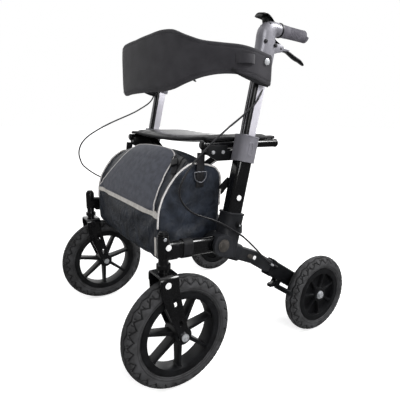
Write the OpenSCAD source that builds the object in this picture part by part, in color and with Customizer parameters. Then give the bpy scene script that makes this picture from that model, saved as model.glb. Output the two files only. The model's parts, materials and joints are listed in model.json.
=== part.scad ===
// All terrain rollator with a side-folding cross frame, pneumatic tyres, a sling seat and a tote bag.
// Sizes are in millimetres. +X is the user's left, -Y is the front, +Z is up.
// The origin is on the ground, in the middle of the overall length and width.

/* [Overall] */
// Overall length over the tyres
total_l = 796; // [770:1:830]
// Distance between the left and right wheel planes
track_w = 590; // [570:1:620]
// Rearward lean of the uprights in degrees
lean = 12.1; // [10:0.1:14]
// Distance of the uprights inside the wheel planes
upright_inset = 14; // [10:1:18]

/* [Wheels] */
// Diameter of the front tyres
front_d = 305; // [295:1:315]
// Width of the front tyres
front_tyre_w = 52; // [46:1:56]
// Diameter of the front rims at the tyre bead
front_bead_d = 212; // [200:1:216]
// Diameter of the rear tyres
rear_d = 251; // [240:1:262]
// Width of the rear tyres
rear_tyre_w = 47; // [42:1:50]
// Diameter of the rear rims at the tyre bead
rear_bead_d = 164; // [154:1:168]
// Height of the rim flange over the bead
flange_h = 6; // [4:0.5:8]
// Wall of the rim under the bead
rim_wall = 11; // [8:0.5:13]
// Number of spokes in each rim
spokes = 7; // [5:1:9]
// Thickness of a front spoke at the rim
spoke_t = 7; // [5:0.5:9]
// Axial depth of a front spoke
spoke_depth = 28; // [22:1:34]
// Diameter of the wheel hubs
hub_d = 46; // [40:1:52]
// Diameter of the axles
axle_d = 12; // [10:0.5:14]
// Outer diameter of the wheel bearings
bearing_d = 28; // [25:0.5:32]
// Width of a wheel bearing
bearing_w = 8; // [6:0.5:10]

/* [Caster forks] */
// Distance of the swivel axis ahead of the front axle
trail = 39; // [30:1:46]
// Thickness of the fork strap
fork_t = 5; // [4:0.5:6]
// Free space between a front tyre and a fork blade
fork_side_gap = 5; // [3:0.5:8]
// Free space between the front tyre and the crown
crown_gap = 12; // [8:1:18]
// Length of the fork crown from front to back
crown_l = 48; // [42:1:56]
// Width of a fork blade at the axle
blade_w = 28; // [24:1:34]
// Height of the neck between crown and head
neck_h = 35; // [30:1:42]
// Diameter of the swivel stem
stem_d = 16; // [12:1:18]
// Diameter of the caster head
head_d = 30; // [26:1:34]
// Height of the caster head
head_h = 57; // [52:1:64]

/* [Side frame] */
// Height of the socket rim in which the upright stands
socket_top_z = 440; // [430:1:450]
// Position along the frame of the upright at the socket rim
upright_foot_y = -72; // [-78:1:-66]
// Width of the upright tube
upright_w = 36; // [32:1:38]
// Depth of the upright tube
upright_d = 45; // [42:1:48]
// Wall of the upright tube
upright_wall = 3; // [2:0.1:3]
// Wall of the moulded joint around the upright
socket_wall = 7; // [5:0.5:8]
// Position along the frame of the front lobe of the joint
lobe_y = -116; // [-120:1:-112]
// Height of the front lobe of the joint
lobe_z = 361; // [356:1:366]
// Radius of the front lobe of the joint
lobe_r = 29; // [27:1:31]
// Height of the oval front tube
front_tube_h = 44; // [40:1:46]
// Width of the oval front tube
front_tube_w = 26; // [22:1:28]
// Height of the rear leg section
leg_h = 40; // [36:1:42]
// Width of the rear leg section
leg_w = 26; // [22:1:28]
// Wall of the front tube and the rear leg
leg_wall = 2.5; // [2:0.1:3]
// Position along the frame of the bend in the rear leg
leg_bend_y = 26; // [16:1:36]
// Height of the bend in the rear leg
leg_bend_z = 287; // [280:1:292]
// Height of the rear leg at its front end
leg_front_z = 339; // [335:1:343]
// Wall of the axle block around the leg
block_wall = 1.5; // [1.2:0.1:2]
// Length of the axle block along the leg
block_l = 214; // [205:1:222]
// Free space between the axle block and the rear tyre
wheel_gap = 2; // [1.5:0.1:4]

/* [Fold and seat] */
// Height of the seat rails
rail_z = 616; // [605:1:625]
// Diameter of the seat rails
rail_d = 22; // [20:0.5:24]
// Free space between a seat rail's axis and the upright
rail_side = 23; // [21:1:26]
// Front end of the seat rails
rail_front_y = -140; // [-150:1:-132]
// Rear end of the seat rails
rail_rear_y = 107; // [95:1:120]
// Height of the lower pivots of the cross bars
pivot_z = 378; // [374:1:386]
// Width of the square cross bars
bar_w = 18; // [16:1:20]
// Position along the frame of the front cross bar
bar_a_y = -60; // [-62:1:-58]
// Thickness of the seat pad
seat_t = 15; // [10:1:18]
// Sag of the seat in the middle
seat_sag = 12; // [6:1:18]

/* [Handles] */
// Height of the lower edge of the clamp sleeve
sleeve_z = 573; // [568:1:576]
// Height of the clamp sleeve
sleeve_h = 67; // [60:1:70]
// Width of the sliding handle tube
inner_w = 28; // [24:0.5:28.5]
// Depth of the sliding handle tube
inner_d = 37; // [33:0.5:37.5]
// Height of the lower edge of the handle head
head_z = 780; // [773:1:788]
// Half width of the handle head
head_a = 19; // [17.5:0.5:21]
// Half depth of the handle head
head_b = 28; // [26:0.5:30]
// Rise of the grip axis above the lower edge of the handle head
grip_rise = 127; // [120:1:135]
// Radius of the elbow between the head and the grip
elbow_r = 42; // [38:1:46]
// Length of the hand grip with its collar
grip_l = 98; // [85:1:130]
// Diameter of the hand grip
grip_d = 31; // [28:0.5:34]
// Reach of the brake lever behind its pivot
lever_reach = 96; // [85:1:105]
// Drop of the brake lever's tip below its pivot
lever_drop = 34; // [28:1:38]
// Width of the brake lever
lever_w = 14; // [12:1:16]

/* [Soft parts] */
// Height of the middle of the backrest's lower edge
back_low_z = 752; // [745:1:760]
// Height of the backrest in the middle
back_h = 152; // [143:1:160]
// Forward bulge of the backrest
back_bulge = 187; // [170:1:200]
// Thickness of the backrest foam in the middle
back_t = 20; // [14:1:24]
// Gap between the bag's side and the plane of the seat rail
bag_side_gap = 4; // [2:1:24]
// Position of the bag's front panel
bag_front_y = -272; // [-276:1:-262]
// Position of the bag's rear panel
bag_rear_y = -77; // [-86:1:-75]
// Height of the bag's base
bag_low_z = 322; // [316:1:334]
// Height of the bag's rear edge above its base
bag_h = 251; // [240:1:256]
// Rise of the bag's lid in the middle
bag_lid_h = 36; // [26:1:40]
// Diameter of the brake cables
cable_d = 5; // [4:0.5:5]

/* [Hidden] */
$fn = 64;

// Finishes
gloss_black = "#101113";
moulding_grey = "#3c3d41";
silver_grey = "#8d8b92";
rubber_black = "#2a2a2c";
steel = "#b9bbbf";
foam_grey = "#3a393d";
bag_navy = "#33363f";

// Clearances
fit = 0.15;
run_fit = 0.05;
slide_fit = 0.3;
skin = 0.3;

// Wheel places
front_r = front_d / 2;
rear_r = rear_d / 2;
wheel_x = track_w / 2;
front_axle_y = front_r - total_l / 2;
rear_axle_y = total_l / 2 - rear_r;
axle_r = axle_d / 2;
fork_gap = front_tyre_w + 2 * fork_side_gap;
front_hub_w = fork_gap - 1;
rear_hub_w = rear_tyre_w - 3;

// Caster places
stem_y = front_axle_y - trail;
crown_low = front_d + crown_gap;
crown_top = crown_low + fork_t;
head_low = crown_top + neck_h;
neck_gap = 0.6;
neck_d = head_d - 5;
neck_ring_d = head_d + 5;
neck_ring_z = 8;
neck_ring_h = 12;
fork_corner_r = 14;
tube_rise = 17;

// Side frame places
upright_x = wheel_x - upright_inset;
upright_r = 9;
socket_w = upright_w + 2 * socket_wall;
socket_d = upright_d + 2 * socket_wall;
socket_r = upright_r + socket_wall;
socket_low_z = leg_front_z - 14;
socket_floor_z = socket_low_z + 35;
socket_lip = 2;
socket_lip_h = 5;
lobe_l = socket_w + 3;
front_tube_run = [wheel_x - upright_x, stem_y - lobe_y, head_low + tube_rise - lobe_z];
front_tube_len = norm(front_tube_run);
front_tube_in = 18;
front_tube_out = 22;
head_socket_l = 36;
leg_x = wheel_x - rear_tyre_w / 2 - wheel_gap - block_wall - leg_w / 2;
leg_r = 6;
corner_steps = 8;
leg_front_y = -95;
leg_a1 = atan2(leg_front_z - leg_bend_z, leg_bend_y - leg_front_y);
leg_a2 = atan2(leg_bend_z - rear_r, rear_axle_y - leg_bend_y);
leg_run1 = norm([leg_bend_y - leg_front_y, leg_bend_z - leg_front_z]);
leg_run2 = norm([rear_axle_y - leg_bend_y, rear_r - leg_bend_z]);
leg_end = 40;
leg_socket_wall = 4.5;
leg_socket_l = 72;
block_w = leg_w + 2 * block_wall;
block_h = leg_h + 10;
block_collar = 14;
block_collar_t = 1.5;

// Fold places
rail_r = rail_d / 2;
rail_x = upright_x - upright_w / 2 - rail_side;
bar_gap = 6;
bar_b_y = bar_a_y + bar_w + bar_gap;
bar_angle = atan2(rail_z - pivot_z, 2 * rail_x);
bar_len = norm([2 * rail_x, rail_z - pivot_z]);
bar_r = 3;
pivot_tube_r = 12;
pivot_pin_r = 6;
pivot_front = bar_a_y - bar_w / 2 - bar_gap;
pivot_rear = bar_b_y + bar_w / 2 + bar_gap;
lug_t = 5;
lug_r = 13;
lug_plate_t = 5;
bar_eye_r = rail_r + 3;
bar_eye_l = bar_w + 1;
centre_bolt_r = 5;
rest_plate_t = 5;
rest_bar_gap = 4.5;
rest_cap_gap = 4;
rest_rise = 2;
rest_rear_y = bar_a_y - bar_w / 2 - rest_bar_gap;
rest_front_y = rail_front_y + rest_cap_gap;
rest_l = rest_rear_y - rest_front_y;
rest_low_z = sleeve_z + rest_rise;
rest_gap = 1;
rest_lip = 4;
rest_saddle_h = 14;
rest_bolt_r = 5;
rest_bolt_h = 3;
knob_z = 410;
knob_side = 8;
knob_r = 8.5;
leg_cap_back = 20;
leg_cap_gap = 19;
leg_disc_r = 6;

// Brake places, measured from the rear axle along the leg and square to it
pad_r = 8;
pad_gap = 3;
pad_h = 42;
pad_s = sqrt(pow(rear_r + pad_gap + pad_r, 2) - pad_h * pad_h);
arm_pivot_s = pad_s + 20;
arm_w = 16;
arm_eye_r = 9;
arm_pivot_h = block_h / 2 + arm_eye_r + 1;
arm_pin_r = 4;
cheek_t = 4;
gland_r = 5;
gland_x = leg_w / 2 + 5;
gland_h = 8;
gland_l = 20;

// Handle places
sleeve_wall = 6;
sleeve_w = upright_w + 2 * sleeve_wall;
sleeve_d = upright_d + 2 * sleeve_wall;
upright_top_z = sleeve_z + sleeve_h - 14;
inner_wall = 2.5;
inner_r = 7;
inner_low_z = 480;
inner_in_head = 66;
grip_spigot_r = 11;
head_end_r = 16.5;
head_sides = 24;
grip_z = head_z + grip_rise;
elbow_z = grip_z - elbow_r * (1 - sin(lean));
elbow_end_y = upright_y(elbow_z) + elbow_r * cos(lean);
head_lead = 10;
grip_y = elbow_end_y + head_lead;
lever_y = elbow_end_y + 2;
lever_z = grip_z - 45;
lever_pin_r = 3;
lever_eye_r = 8;
lever_knee = [36, 3];
paddle_turn = 51;
paddle_y = elbow_end_y - (elbow_r + head_b - 4) * cos(paddle_turn);
paddle_z = grip_z - elbow_r + (elbow_r + head_b - 4) * sin(paddle_turn);
paddle_w = 44;
paddle_l = 34;
paddle_t = 4;
paddle_rise = 27;
paddle_pin_r = 2;
paddle_eye_r = 4.6;
paddle_ear_x = 12;
paddle_ear_t = 4;
paddle_ear_r = 5;
paddle_ear_h = 24;
head_screw_side = 17;
head_screw_drop = 38;
head_screw_r = 5;
head_screw_sink = 1.2;
head_screw_h = 1.8;
backrest_bolt_r = 3;
backrest_bolt_h = 3;
backrest_bolt_rise = 41;
backrest_bolt_lead = 14;
backrest_bolt_z = head_z + backrest_bolt_rise;
backrest_bolt_y = upright_y(backrest_bolt_z) - backrest_bolt_lead;

// Soft part places
seat_half_w = rail_x + rail_r - 1;
seat_half_l = (rail_rear_y - rail_front_y) / 2 - 4;
seat_mid_y = (rail_rear_y + rail_front_y) / 2;
seat_low_z = rail_z + rail_r + skin;
seat_draw = 8;
seat_crown = 3;
back_end_t = 14;
back_high_z = back_low_z + back_h;
back_wide_x = 140;
back_narrow_x = 255;
back_end_rise = 19;
back_end_drop = 57;
back_half_w = upright_x + head_a + skin + back_end_t / 2;
back_straight_y = -25;
back_end_y = 13;
bag_half_w = rail_x - bag_side_gap;
bag_draw = 3;
bag_d = bag_rear_y - bag_front_y;
bag_band_w = 29;
bag_band_t = 2;
bag_band_from_head = 103;

// Brake cable routes, from the handle head to the gland on the axle block
cable_left = [[286, 24.86, 773.5], [287, 24.86, 766], [297, 14, 739], [302, -4, 729], [303, -28, 717],
              [303, -69, 687], [302, -114, 656], [302, -175, 609], [302, -216, 569], [302, -240, 531],
              [302, -244, 507], [304, -233, 482], [306, -204, 457], [309, -136, 428], [311, -72, 386],
              [302, -15, 345], [286, 24, 308], [275, 62, 274], [273, 95, 251]];
cable_right = [[-286, -22.14, 784.1], [-286, -24.14, 775], [-290, -44, 750], [-298, -80, 740],
               [-301, -126, 716], [-302, -195, 668], [-304, -271, 611], [-305, -303, 572],
               [-305, -310, 541], [-304, -294, 508], [-304, -238, 468], [-308, -136, 428],
               [-311, -72, 386], [-302, -15, 345], [-286, 24, 308], [-275, 62, 274], [-273, 95, 251]];
cable_steps = 2;
cable_sides = 8;

// Y of the upright's axis at a height
function upright_y(z) = upright_foot_y + (z - socket_top_z) * tan(lean);
// Length along the upright between two heights
function upright_run(low, high) = (high - low) / cos(lean);
// Rounded section with half axes a and b, from an oval at 2 to a box at higher values of e
function squircle(n, a, b, e) = [for (i = [0 : n - 1]) let (c = cos(360 * i / n), s = sin(360 * i / n))
  [a * sign(c) * pow(abs(c), 2 / e), b * sign(s) * pow(abs(s), 2 / e)]];
// Box section with its round corners drawn in straight steps
function stepped(w, d, r) = [for (k = [0 : 3], i = [0 : corner_steps]) let (a = 90 * (k + i / corner_steps))
  [(w / 2 - r) * (k == 0 || k == 3 ? 1 : -1) + r * cos(a), (d / 2 - r) * (k < 2 ? 1 : -1) + r * sin(a)]];
function mix(a, b, t) = a + (b - a) * t;
function unit(v) = v / norm(v);
// Value at x in a list of rows, eased between rows, from column c
function eased(rows, x, c, i = 0) = i >= len(rows) - 1 || x <= rows[i][0] ? rows[i][c]
  : x >= rows[i + 1][0] ? eased(rows, x, c, i + 1)
  : let (t = (x - rows[i][0]) / (rows[i + 1][0] - rows[i][0]))
    mix(rows[i][c], rows[i + 1][c], (1 - cos(180 * t)) / 2);
// Point on the smooth curve through four points
function curve(p, q, r, s, t) = (2 * q + (r - p) * t + (2 * p - 5 * q + 4 * r - s) * t * t
  + (3 * q - p - 3 * r + s) * t * t * t) / 2;
// Smooth route through hand-chosen points
function route(pts, steps) = let (last = len(pts) - 1) concat(
  [for (i = [0 : last - 1], k = [0 : steps - 1])
    curve(pts[max(i - 1, 0)], pts[i], pts[i + 1], pts[min(i + 2, last)], k / steps)], [pts[last]]);
// Direction of a route at point i
function heading(path, i) = unit(path[min(i + 1, len(path) - 1)] - path[max(i - 1, 0)]);

module at_side(side) {
  if (side > 0) children();
  else mirror([1, 0, 0]) children();
}

// Section with round corners, centred
module rounded(w, d, r) {
  square([w - 2 * r, d], center = true);
  square([w, d - 2 * r], center = true);
  for (sx = [-1, 1], sy = [-1, 1])
    translate([sx * (w / 2 - r), sy * (d / 2 - r)]) circle(r);
}

// Wall of a tube with round corners
module rounded_wall(w, d, r, wall) {
  difference() {
    rounded(w, d, r);
    rounded(w - 2 * wall, d - 2 * wall, r - wall);
  }
}

// Frame on the upright's axis at a height, local Z along the upright
module on_upright(z) {
  translate([upright_x, upright_y(z), z]) rotate([-lean, 0, 0]) children();
}

// Frame at the lobe of the joint, local Z along the front tube towards the caster head
module on_front_tube() {
  translate([upright_x, lobe_y, lobe_z])
    rotate([acos(front_tube_run.z / front_tube_len), 0, atan2(front_tube_run.x, -front_tube_run.y)])
      children();
}

// Frame at the rear axle, local Z up along the leg, local Y square to it, local X to the outside
module on_leg() {
  translate([leg_x, rear_axle_y, rear_r]) rotate([90 - leg_a2, 0, 0]) children();
}

// Cylinder along X from x0 to x1
module along_x(r, x0, x1) {
  translate([x0, 0, 0]) rotate([0, 90, 0]) cylinder(r = r, h = x1 - x0);
}

// Cylinder along Y from y0 to y1
module along_y(r, y0, y1) {
  translate([0, y0, 0]) rotate([-90, 0, 0]) cylinder(r = r, h = y1 - y0);
}

// Side outline, drawn as y and z, extruded along X from x0 to x1
module side_plate(x0, x1) {
  translate([x0, 0, 0]) rotate([90, 0, 90]) linear_extrude(x1 - x0) children();
}

// Closed skin through rings of points
module loft(rings) {
  n = len(rings[0]);
  m = len(rings);
  sides = [for (j = [0 : m - 2], i = [0 : n - 1]) let (a = j * n + i, b = j * n + (i + 1) % n)
    each [[a, b + n, b], [a, a + n, b + n]]];
  start = [for (i = [1 : n - 2]) [0, i, i + 1]];
  finish = [for (i = [1 : n - 2]) [(m - 1) * n, (m - 1) * n + i + 1, (m - 1) * n + i]];
  polyhedron([for (r = rings) each r], concat(start, sides, finish));
}

// Wall of the rear leg
module leg_section() {
  difference() {
    polygon(stepped(leg_w, leg_h, leg_r));
    polygon(stepped(leg_w - 2 * leg_wall, leg_h - 2 * leg_wall, leg_r - leg_wall));
  }
}

// Straight run of the rear leg from its front end past the bend
module leg_front(run) {
  translate([leg_x, leg_front_y, leg_front_z]) rotate([-90 - leg_a1, 0, 0]) linear_extrude(run) children();
}

// Straight run of the rear leg from before the bend down to the rear axle
module leg_rear(start, end) {
  on_leg() translate([0, 0, end]) linear_extrude(leg_run2 - end + start) children();
}

// Space in front of the mitre at the bend of the rear leg
module before_bend() {
  translate([leg_x, leg_bend_y, leg_bend_z]) rotate([-(leg_a1 + leg_a2) / 2, 0, 0])
    translate([-leg_h, -2 * leg_run1, -leg_run1]) cube([2 * leg_h, 2 * leg_run1, 2 * leg_run1]);
}

// Side frame

module pivot_bracket() {
  low = pivot_z - lug_r;
  plate_x = upright_x - socket_w / 2 - lug_plate_t / 2;
  translate([plate_x, pivot_front - lug_t, low])
    cube([lug_plate_t, pivot_rear - pivot_front + 2 * lug_t, 2 * lug_r]);
  for (y = [pivot_front - lug_t, pivot_rear + slide_fit])
    translate([0, y, 0]) {
      translate([rail_x, 0, pivot_z]) along_y(lug_r, 0, lug_t - slide_fit);
      translate([rail_x, 0, low]) cube([plate_x + lug_plate_t - rail_x, lug_t - slide_fit, 2 * lug_r]);
    }
}

module frame_joint(side) {
  at_side(side) color(moulding_grey) difference() {
    union() {
      on_upright(socket_low_z) linear_extrude(upright_run(socket_low_z, socket_top_z))
        polygon(stepped(socket_w, socket_d, socket_r));
      on_upright(socket_top_z) translate([0, 0, 1 - socket_lip_h]) linear_extrude(socket_lip_h)
        polygon(stepped(socket_w + 2 * socket_lip, socket_d + 2 * socket_lip, socket_r + socket_lip));
      translate([upright_x, lobe_y, lobe_z]) along_x(lobe_r, -lobe_l / 2, lobe_l / 2);
      translate([leg_x, leg_front_y, leg_front_z]) rotate([-90 - leg_a1, 0, 0])
        translate([0, 0, -leg_socket_wall]) linear_extrude(leg_socket_l + leg_socket_wall)
          polygon(stepped(leg_w + 2 * leg_socket_wall, leg_h + 2 * leg_socket_wall,
                          leg_r + leg_socket_wall));
      pivot_bracket();
    }
    on_upright(socket_floor_z) linear_extrude(upright_run(socket_floor_z, socket_top_z) + socket_lip_h)
      polygon(stepped(upright_w + 2 * fit, upright_d + 2 * fit, upright_r));
    on_front_tube() translate([0, 0, front_tube_in - fit]) linear_extrude(front_tube_len)
      polygon(stepped(front_tube_w + 2 * fit, front_tube_h + 2 * fit, front_tube_w / 2 - 1));
    leg_front(leg_run1) polygon(stepped(leg_w + 2 * fit, leg_h + 2 * fit, leg_r));
    translate([rail_x, 0, pivot_z])
      along_y(pivot_pin_r + fit, pivot_front - 2 * lug_t, pivot_rear + 2 * lug_t);
  }
}

module front_tube(side) {
  at_side(side) color(gloss_black) on_front_tube() translate([0, 0, front_tube_in])
    linear_extrude(front_tube_len - front_tube_in - front_tube_out)
      rounded_wall(front_tube_w, front_tube_h, front_tube_w / 2 - 1, leg_wall);
}

module caster_head(side) {
  at_side(side) color(gloss_black) difference() {
    union() {
      translate([wheel_x, stem_y, head_low]) cylinder(d = head_d, h = head_h);
      on_front_tube() translate([0, 0, front_tube_len - head_socket_l]) linear_extrude(head_socket_l)
        rounded(front_tube_w + 4, front_tube_h + 4, front_tube_w / 2 + 1);
    }
    on_front_tube() translate([0, 0, front_tube_len - head_socket_l - 1])
      linear_extrude(head_socket_l + 1 - front_tube_out + fit)
        rounded(front_tube_w + 2 * fit, front_tube_h + 2 * fit, front_tube_w / 2 - 1);
    translate([wheel_x, stem_y, head_low]) {
      cylinder(r = stem_d / 2 + run_fit, h = head_h + 1);
      translate([0, 0, -neck_h]) cylinder(d = neck_ring_d + 2, h = neck_h);
    }
  }
}

module upright_tube(side) {
  at_side(side) color(gloss_black) on_upright(socket_floor_z + fit)
    linear_extrude(upright_run(socket_floor_z + fit, upright_top_z))
      rounded_wall(upright_w, upright_d, upright_r, upright_wall);
}

module rear_leg(side) {
  at_side(side) color(gloss_black) {
    intersection() {
      leg_front(leg_run1 + leg_h) leg_section();
      before_bend();
    }
    difference() {
      leg_rear(leg_h, leg_end) leg_section();
      before_bend();
    }
  }
}

module axle_block(side) {
  at_side(side) color(gloss_black) difference() {
    on_leg() {
      linear_extrude(block_l) rounded(block_w, block_h, leg_r);
      along_x(block_h / 2, -block_w / 2, block_w / 2);
      translate([0, 0, block_l - block_collar]) linear_extrude(block_collar)
        rounded(block_w + 2 * block_collar_t, block_h + 2 * block_collar_t, leg_r);
      translate([gland_x, gland_h, block_l - gland_l]) cylinder(r = gland_r, h = gland_l);
      for (x = [-1, 1] * (arm_w / 2 + slide_fit + cheek_t / 2))
        rotate([90, 0, 90]) translate([0, 0, x - cheek_t / 2]) linear_extrude(cheek_t) mirror([1, 0]) {
          translate([arm_pivot_h, arm_pivot_s]) circle(arm_eye_r);
          translate([block_h / 2 - 2, arm_pivot_s - arm_eye_r])
            square([arm_pivot_h - block_h / 2 + 2, 2 * arm_eye_r]);
        }
    }
    leg_rear(0, leg_end - fit) rounded(leg_w + 2 * fit, leg_h + 2 * fit, leg_r + fit);
    on_leg() {
      along_x(axle_r + fit, -block_w, block_w);
      translate([0, -arm_pivot_h, arm_pivot_s]) along_x(arm_pin_r + fit, -block_w, block_w);
    }
  }
}

module height_sleeve(side) {
  run = upright_run(sleeve_z, sleeve_z + sleeve_h);
  oval_l = 34;
  oval_w = 14;
  at_side(side) color(silver_grey) difference() {
    union() {
      on_upright(sleeve_z) linear_extrude(run) rounded(sleeve_w, sleeve_d, upright_r + sleeve_wall);
      on_upright(sleeve_z + sleeve_h) translate([0, 0, -3]) linear_extrude(3)
        rounded(sleeve_w + 2, sleeve_d + 2, upright_r + sleeve_wall + 1);
      on_upright(sleeve_z + sleeve_h / 2) translate([sleeve_w / 2 - 1, 0, 0]) rotate([0, 90, 0])
        linear_extrude(2) rounded_wall(oval_l, oval_w, oval_w / 2 - 0.5, 2);
    }
    on_upright(sleeve_z) translate([0, 0, -1])
      linear_extrude(upright_run(sleeve_z, upright_top_z) + 1 + fit)
        rounded(upright_w + 2 * fit, upright_d + 2 * fit, upright_r + fit);
    on_upright(sleeve_z) linear_extrude(run + 1)
      rounded(inner_w + 2 * slide_fit, inner_d + 2 * slide_fit, inner_r + slide_fit);
  }
}

// Bracket that carries a seat rail: a plate on the sleeve's inner face, a saddle in front of it
module rail_rest(side) {
  plate_x1 = upright_x - sleeve_w / 2 - fit;
  plate_x0 = plate_x1 - rest_plate_t;
  saddle_x0 = rail_x - rail_r - rest_lip;
  plate_rear = upright_y(rest_low_z) + upright_d / 2;
  saddle_low = rail_z - rail_r - rest_saddle_h;
  arm_top = rail_z - bar_eye_r - rest_gap;
  at_side(side) color(gloss_black) difference() {
    union() {
      side_plate(plate_x0, plate_x1)
        polygon([[rest_rear_y, rail_z], [rest_front_y, rail_z], [rest_front_y, saddle_low],
                 [rest_front_y + rest_l / 2, rest_low_z], [plate_rear, rest_low_z],
                 [plate_rear, arm_top], [rest_rear_y, arm_top]]);
      translate([saddle_x0, rest_front_y, saddle_low])
        cube([plate_x1 - saddle_x0, rest_l, rail_r + rest_saddle_h]);
    }
    translate([rail_x, 0, rail_z]) along_y(rail_r + slide_fit, rest_front_y - 1, rest_rear_y + 1);
  }
}

// Fasteners of one side frame: clamp knob, lobe cap, leg cap, rest bolts, pivot pins, head cap
module frame_bolts(side) {
  outer_x = upright_x + socket_w / 2 + fit;
  leg_out = leg_x + leg_w / 2 + fit;
  rest_x = upright_x - sleeve_w / 2;
  at_side(side) color(steel) {
    translate([outer_x, upright_y(knob_z) + knob_side, knob_z]) {
      along_x(knob_r, 0, 4);
      along_x(knob_r - 3, 4, 8);
    }
    translate([upright_x + lobe_l / 2 + fit, lobe_y, lobe_z]) {
      along_x(17, 0, 2);
      along_x(13, 2, 3.5);
    }
    translate([leg_out, leg_bend_y, leg_bend_z]) rotate([-leg_a1, 0, 0]) {
      translate([0, -leg_cap_back, 0]) rotate([90, 0, 90]) linear_extrude(3) rounded(20, 12, 5.9);
      translate([0, leg_cap_gap - leg_cap_back, 0]) along_x(leg_disc_r, 0, 2);
    }
    for (t = [0.25, 0.75])
      translate([rest_x, mix(rest_front_y, rest_rear_y, t), rail_z - rail_r - rest_saddle_h / 2])
        along_x(rest_bolt_r, 0, rest_bolt_h);
    translate([rail_x, 0, pivot_z]) {
      along_y(pivot_pin_r, pivot_front - lug_t - fit, pivot_rear + lug_t + fit);
      along_y(9, pivot_front - lug_t - fit - 4, pivot_front - lug_t - fit);
      along_y(9, pivot_rear + lug_t + fit, pivot_rear + lug_t + fit + 4);
    }
    translate([wheel_x, stem_y, head_low + head_h + fit]) {
      cylinder(d = head_d - 4, h = 4);
      cylinder(d = head_d - 10, h = 8);
    }
    on_leg() translate([0, -arm_pivot_h, arm_pivot_s])
      along_x(arm_pin_r, -arm_w / 2 - cheek_t - 2, arm_w / 2 + cheek_t);
  }
}

// Handles

module handle_tube(side) {
  at_side(side) color(silver_grey) on_upright(inner_low_z)
    linear_extrude(upright_run(inner_low_z, head_z) + inner_in_head)
      rounded_wall(inner_w, inner_d, inner_r, inner_wall);
}

// Ring of the head at turn phi from vertical, centred at y and z
function head_ring(y, z, phi, a, b, e) = [for (p = squircle(head_sides, a, b, e))
  [upright_x + p.x, y + p.y * cos(phi), z - p.y * sin(phi)]];
function head_shank() = [for (t = [0, 0.1, 0.5, 1]) let (z = mix(head_z, elbow_z, t))
  head_ring(upright_y(z), z, lean, head_a - (t == 0 ? 1 : 0), head_b - (t == 0 ? 1 : t), 3 - 0.6 * t)];
function head_elbow() = [for (t = [0.16 : 0.14 : 1]) let (phi = mix(lean, 90, t))
  head_ring(elbow_end_y - elbow_r * cos(phi), grip_z - elbow_r + elbow_r * sin(phi), phi,
            mix(head_a, head_end_r, t), mix(head_b - 1, head_end_r, t), mix(2.4, 2, t))];

module lever_lug() {
  for (x = [-1, 1] * (lever_w / 2 + slide_fit + cheek_t / 2))
    side_plate(upright_x + x - cheek_t / 2, upright_x + x + cheek_t / 2) {
      translate([lever_y, lever_z]) circle(9);
      polygon([[lever_y - 34, lever_z - 12], [lever_y - 3, lever_z - 8.4], [lever_y, lever_z + 9],
               [lever_y - 34, lever_z + 16]]);
    }
}

module handle_head(side) {
  at_side(side) color(silver_grey) difference() {
    union() {
      loft(concat(head_shank(), head_elbow(),
                  [head_ring(grip_y - fit, grip_z, 90, head_end_r, head_end_r, 2)]));
      translate([upright_x, 0, grip_z]) along_y(grip_spigot_r, grip_y - 4, grip_y + grip_l - 12);
      lever_lug();
      for (x = [-1, 1] * (paddle_ear_x + paddle_ear_t / 2))
        side_plate(upright_x + x - paddle_ear_t / 2, upright_x + x + paddle_ear_t / 2) {
          translate([paddle_y, paddle_z]) circle(paddle_ear_r);
          translate([paddle_y, paddle_z]) rotate(90 - paddle_turn) translate([-paddle_ear_r, -paddle_ear_h])
            square([2 * paddle_ear_r, paddle_ear_h]);
        }
    }
    on_upright(head_z) translate([0, 0, -8]) linear_extrude(inner_in_head + 8 + fit)
      rounded(inner_w + 2 * fit, inner_d + 2 * fit, inner_r + fit);
    translate([upright_x, lever_y, lever_z]) {
      along_x(lever_eye_r + 1.5, -lever_w / 2 - slide_fit, lever_w / 2 + slide_fit);
      along_x(lever_pin_r + fit, -head_a, head_a);
    }
    translate([upright_x, paddle_y, paddle_z]) {
      along_x(paddle_pin_r + fit, -head_a, head_a);
      along_x(paddle_ear_r + 0.6, -paddle_ear_x, paddle_ear_x);
    }
    translate([upright_x, backrest_bolt_y, backrest_bolt_z])
      along_x(backrest_bolt_r + fit, inner_w / 2 + 1, 2 * head_a);
  }
}

module grip(side) {
  bore = grip_spigot_r + fit;
  r = grip_d / 2;
  ribs = 7;
  at_side(side) color(rubber_black) translate([upright_x, grip_y, grip_z]) difference() {
    rotate([-90, 0, 0]) rotate_extrude() difference() {
      polygon([[bore, 0], [r + 3, 0], [r + 3, 5], [r + 0.6, 7], [r, 22], [r - 2, 24], [r - 2, 27],
               [r - 0.3, 29], [r - 1.3, grip_l - 4], [r - 3.5, grip_l], [0, grip_l], [0, grip_l - 11],
               [bore, grip_l - 11]]);
      for (i = [0 : ribs - 1])
        translate([r - 1.6, mix(34, grip_l - 14, i / (ribs - 1))]) square([4, 3]);
    }
    translate([-grip_d, grip_l - 5, 2]) rotate([-30, 0, 0]) cube([2 * grip_d, 12, 8]);
  }
}

// Fasteners of one handle: head screws, lever pin, paddle pin, backrest bolt
module head_screws(side) {
  bolt_seat = head_a + back_end_t + 3 * skin;
  face = head_a + fit;
  at_side(side) color(steel) {
    for (d = [-1, 1] * head_screw_side)
      on_upright(grip_z - head_screw_drop) translate([0, d, 0])
        along_x(head_screw_r, face - head_screw_sink, face + head_screw_h);
    translate([upright_x, lever_y, lever_z])
      along_x(lever_pin_r, -lever_w / 2 - cheek_t, lever_w / 2 + cheek_t);
    translate([upright_x, paddle_y, paddle_z])
      along_x(paddle_pin_r, -paddle_ear_x - paddle_ear_t, paddle_ear_x + paddle_ear_t);
    translate([upright_x, backrest_bolt_y, backrest_bolt_z]) {
      along_x(backrest_bolt_r, inner_w / 2 + 2, bolt_seat);
      along_x(backrest_bolt_r + 5, bolt_seat, bolt_seat + backrest_bolt_h);
    }
  }
}

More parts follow.
